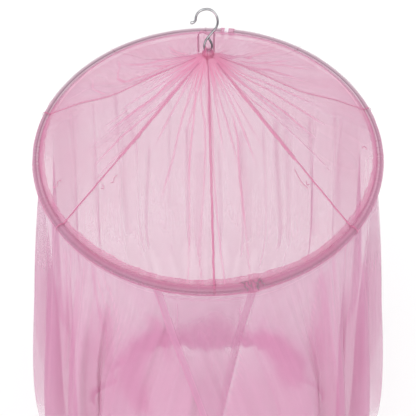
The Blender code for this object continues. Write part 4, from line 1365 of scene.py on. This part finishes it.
# %% [markdown]
# ## Gather
#
# All the gores end in a pleated bundle that is wound tight with thread. The bundle narrows
# upwards, its radius goes in and out with the pleats, and in front a ragged tuft stands up
# from it.

# %% Gather
BUNDLE = [                 # radius and height above the neck, from the crown to the tuft
    (0.0090, -0.0006), (0.0084, 0.0010), (0.0080, 0.0030), (0.0078, 0.0050), (0.0076, 0.0080),
    (0.0071, 0.0105), (0.0065, 0.0130), (0.0060, 0.0155), (0.0055, 0.0185),
]
BUNDLE_ROWS, BUNDLE_MOST = 46, 0.0089
TUFT_START, TUFT_AT_BACK, RAGGED = 0.006, 0.12, 0.0020
WAIST_HEIGHT = 0.0030
KNOT_SHADE, KNOT_FADE = 9.5, 8.4           # layers at the bundle's foot, and fewer at its top
DARK_PLEAT, DARK_PLEAT_LAYERS, DARK_PLEAT_WIDTH = 236, 4.5, 15
BUNDLE_COLUMNS = 192


def bundle_places():
    smooth = np.linspace(0, len(BUNDLE) - 1, BUNDLE_ROWS)
    radius, height = (np.interp(smooth, np.arange(len(BUNDLE)), column) for column in np.array(BUNDLE).T)
    turn = np.arange(BUNDLE_COLUMNS) / BUNDLE_COLUMNS
    pleat = 0.10 * chance_waves(turn, 22, 31) + 0.05 * chance_waves(turn, 48, 32)
    stands = mix(TUFT_AT_BACK, 1.0, ease(0.05 - np.sin(turn * math.tau)))[None, :]
    height = height[:, None] + np.maximum(height - TUFT_START, 0)[:, None] * (stands - 1)
    tuft = rise(height, 0.005, 0.003)
    ragged = RAGGED * chance_waves(turn, 18, 33)[None, :] * tuft
    tied = bell(height - WAIST_HEIGHT, 0.002)
    reach = radius[:, None] * (1 + pleat[None, :] * (1 - 0.8 * tied) * (1 + 0.8 * tuft))
    return at_azimuth(turn[None, :] * 360, np.minimum(reach, BUNDLE_MOST), NECK_HEIGHT + height + ragged)


places = bundle_places()
turn = np.arange(BUNDLE_COLUMNS + 1)[None, :] / BUNDLE_COLUMNS
flat = flat_map(turn * 0.052, np.linspace(0, 0.03, BUNDLE_ROWS)[:, None])
height = places[..., 2] - NECK_HEIGHT
bundle_layers = KNOT_SHADE - KNOT_FADE * ease((height + 0.001) / 0.0175)
dark_pleat = bell(turn[:, :-1] * 360 - DARK_PLEAT, DARK_PLEAT_WIDTH)
bundle_layers = bundle_layers + DARK_PLEAT_LAYERS * dark_pleat
bundle = cloth_piece("gather_bundle", places, flat, bundle_layers, crown_net, closed=True)
ride_and_stand(bundle, ["gather_binding"])

# %% [markdown]
# ## Gather thread and hanging loop
#
# The thread goes three times round the foot of the bundle and ends in loose tails. A loop of
# pale tape with pink edges stands behind the hook, and its two feet are sewn to the crown.
# Thread is a round wire along a run of points, and the tape is a narrow grid along its route.

# %% Gather thread and hanging loop
THREAD_RADIUS, THREAD_TURNS = 0.00040, 3
THREAD_LOW, THREAD_SPREAD, THREAD_WOBBLE = 0.0020, 0.0024, 0.00025
TAILS = [                  # azimuth, radius and height of each loose tail, from the gather down
    [(254, .0050, .1748), (258, .0076, .1724), (262, .0118, .1702), (265, .0160, .1674)],
    [(262, .0048, .1752), (265, .0080, .1724), (267, .0128, .1697), (268.5, .0190, .1660)],
    [(248, .0050, .1740), (252, .0080, .1718), (257, .0115, .1700)],
    [(300, .0050, .1745), (312, .0078, .1722), (322, .0120, .1702)],
]
steps = np.linspace(0, 1, THREAD_TURNS * 40)
level = THREAD_LOW + THREAD_SPREAD * (0.5 - 0.5 * np.cos(steps * math.tau * 1.5))
bundle_radius, bundle_height = np.array(BUNDLE).T
reach = np.interp(level, bundle_height, bundle_radius) + THREAD_RADIUS
level = level + THREAD_WOBBLE * np.sin(steps * 130)
thread_runs = [at_azimuth(steps * 360 * THREAD_TURNS, reach, NECK_HEIGHT + level)]
thread_runs += [smooth_run(at_azimuth(*np.array(tail).T)) for tail in TAILS]
thread = wire_piece("gather_thread", thread_runs, THREAD_RADIUS, wound_thread)
ride_and_stand(thread, [])

LOOP_ROUTE = [             # sideways and height in millimetres, from its left leg to its right one
    (-15.0, 192.0), (-14.6, 197.5), (-12.6, 201.8), (-9.0, 203.6), (-5.6, 202.8), (-2.0, 200.4),
    (2.0, 199.6), (6.0, 201.4), (8.8, 202.4), (10.0, 198.6), (9.4, 192.0),
]
LOOP_NEAR, LOOP_FAR, LOOP_TURNED_IN, LOOP_WIDTH = 0.0080, 0.0125, 0.0014, 0.0047
LOOP_SUNK = 1.6            # millimetres that its feet end over the crown's straight slope
LOOP_EDGE_RADIUS = 0.0007


def loop_foot(place):
    """The end of the tape below one end of its route, and a point halfway down to it."""
    sideways, height = place
    share = (math.hypot(sideways / 1000, LOOP_NEAR) - NECK_RADIUS) / (RIM_RADIUS - NECK_RADIUS)
    foot = 1000 * mix(NECK_HEIGHT, RIM_HEIGHT, share) + LOOP_SUNK
    return [(sideways, foot), (sideways, (foot + height) / 2)]


knots = loop_foot(LOOP_ROUTE[0]) + LOOP_ROUTE + loop_foot(LOOP_ROUTE[-1])[::-1]
path = smooth_run(np.array(knots) / 1000)
along = np.gradient(path, axis=0)
inward = np.stack([along[:, 1], -along[:, 0]], -1) / np.linalg.norm(along, axis=1, keepdims=True)
across = np.linspace(0.0, 1.0, 13)
places = np.stack([path[:, :1] + LOOP_TURNED_IN * across * inward[:, :1],
                   np.repeat(mix(LOOP_NEAR, LOOP_FAR, across)[None, :], len(path), 0),
                   path[:, 1:] + LOOP_TURNED_IN * across * inward[:, 1:]], -1)
run = length_along(path)
flat = flat_map(across[None, :] * LOOP_WIDTH, run[:, None])
loop = cloth_piece("hanging_loop_tape", places, flat, np.ones(places.shape[:2]), loop_tape)
selvedges = wire_piece("hanging_loop_edges", [places[:, 0], places[:, -1]], LOOP_EDGE_RADIUS, loop_edge)
ride_and_stand(selvedges, [])
ride_and_stand(loop, ["hanging_loop"])
print("loop", round(float(run[-1]) * 1000), "mm of tape, thread", THREAD_TURNS, "turns")

# %% [markdown]
# ## Loose thread ends
#
# Overlocked seams end in loose chains of thread, and the casing's joint is drawn together by
# hand with a darker thread. Thin round runs do both: the first lie on the crown beside their
# seams, the second cross the bunched casing from its inner side over its top.

# %% Thread ends
SEAM_ENDS = [              # runs over the crown as azimuth and share of the slope
    [(222.6, .735), (224.2, .742), (223.2, .752)],
    [(225.4, .655), (225.0, .672), (226.0, .690), (225.2, .700)],
    [(206.8, .895), (206.2, .915), (207.6, .930), (206.9, .950)],
    [(315.7, .700), (314.9, .712), (316.2, .722)],
    [(314.6, .620), (314.0, .655), (313.6, .690), (314.3, .730)],
    [(349.5, .900), (350.6, .915), (350.0, .935)],
    [(221.2, .440), (222.0, .452), (221.6, .470)],
]
SEAM_END_RADIUS, SEAM_END_LIFT = 0.00042, 0.0016        # in metres


def crown_across(azimuth):
    """How many gores from the front seam an azimuth lies."""
    return np.interp((azimuth - SEAMS[0, 0]) % 360 + SEAMS[0, 0], SEAMS[:, 0], np.arange(9))


def thread_on_crown(run):
    """A loose thread that lies just over the crown."""
    knots = [crown_place(crown_across(place), share)[0] for place, share in run]
    return smooth_run(np.array(knots)) + np.array([0.0, 0.0, SEAM_END_LIFT])


thread_runs = [thread_on_crown(run) for run in SEAM_ENDS]
ends = wire_piece("seam_thread_ends", thread_runs, SEAM_END_RADIUS, loose_thread)
ride_and_stand(ends, [])

JOINT_THREADS = [          # azimuth where a stitch starts and ends, and degrees round the tube
    (279.6, 280.6, 150, 20), (280.6, 281.9, 160, 30), (282.2, 281.6, 150, 60), (282.4, 283.6, 165, 25),
    (284.0, 283.2, 120, 10), (284.3, 285.2, 150, 50),
]
JOINT_THREAD_RADIUS, JOINT_THREAD_REACH = 0.00060, 0.0082


def stitch_round_tube(first, last, inner, outer):
    """A slanting stitch over the casing, between two azimuths and two angles round the tube."""
    steps = np.linspace(0, 1, 24)
    angle = np.radians(mix(inner, outer, steps))
    place = mix(first, last, steps) + 0.25 * np.sin(steps * 14 + first)
    return at_azimuth(place, HOOP_RADIUS + JOINT_THREAD_REACH * np.cos(angle),
                      JOINT_THREAD_REACH * np.sin(angle))


stitches = wire_piece("casing_joint_thread", [stitch_round_tube(*run) for run in JOINT_THREADS],
                      JOINT_THREAD_RADIUS, grey_thread)
ride_and_stand(stitches, [])
print(len(SEAM_ENDS), "thread ends and", len(JOINT_THREADS), "stitches at the casing's joint")

# %% [markdown]
# ## Light through the layers
#
# Light is let through as many layers of net as may lie behind one another.


# %% Light through layers of net
scene.cycles.transparent_max_bounces = 48
scene.cycles.max_bounces = 8
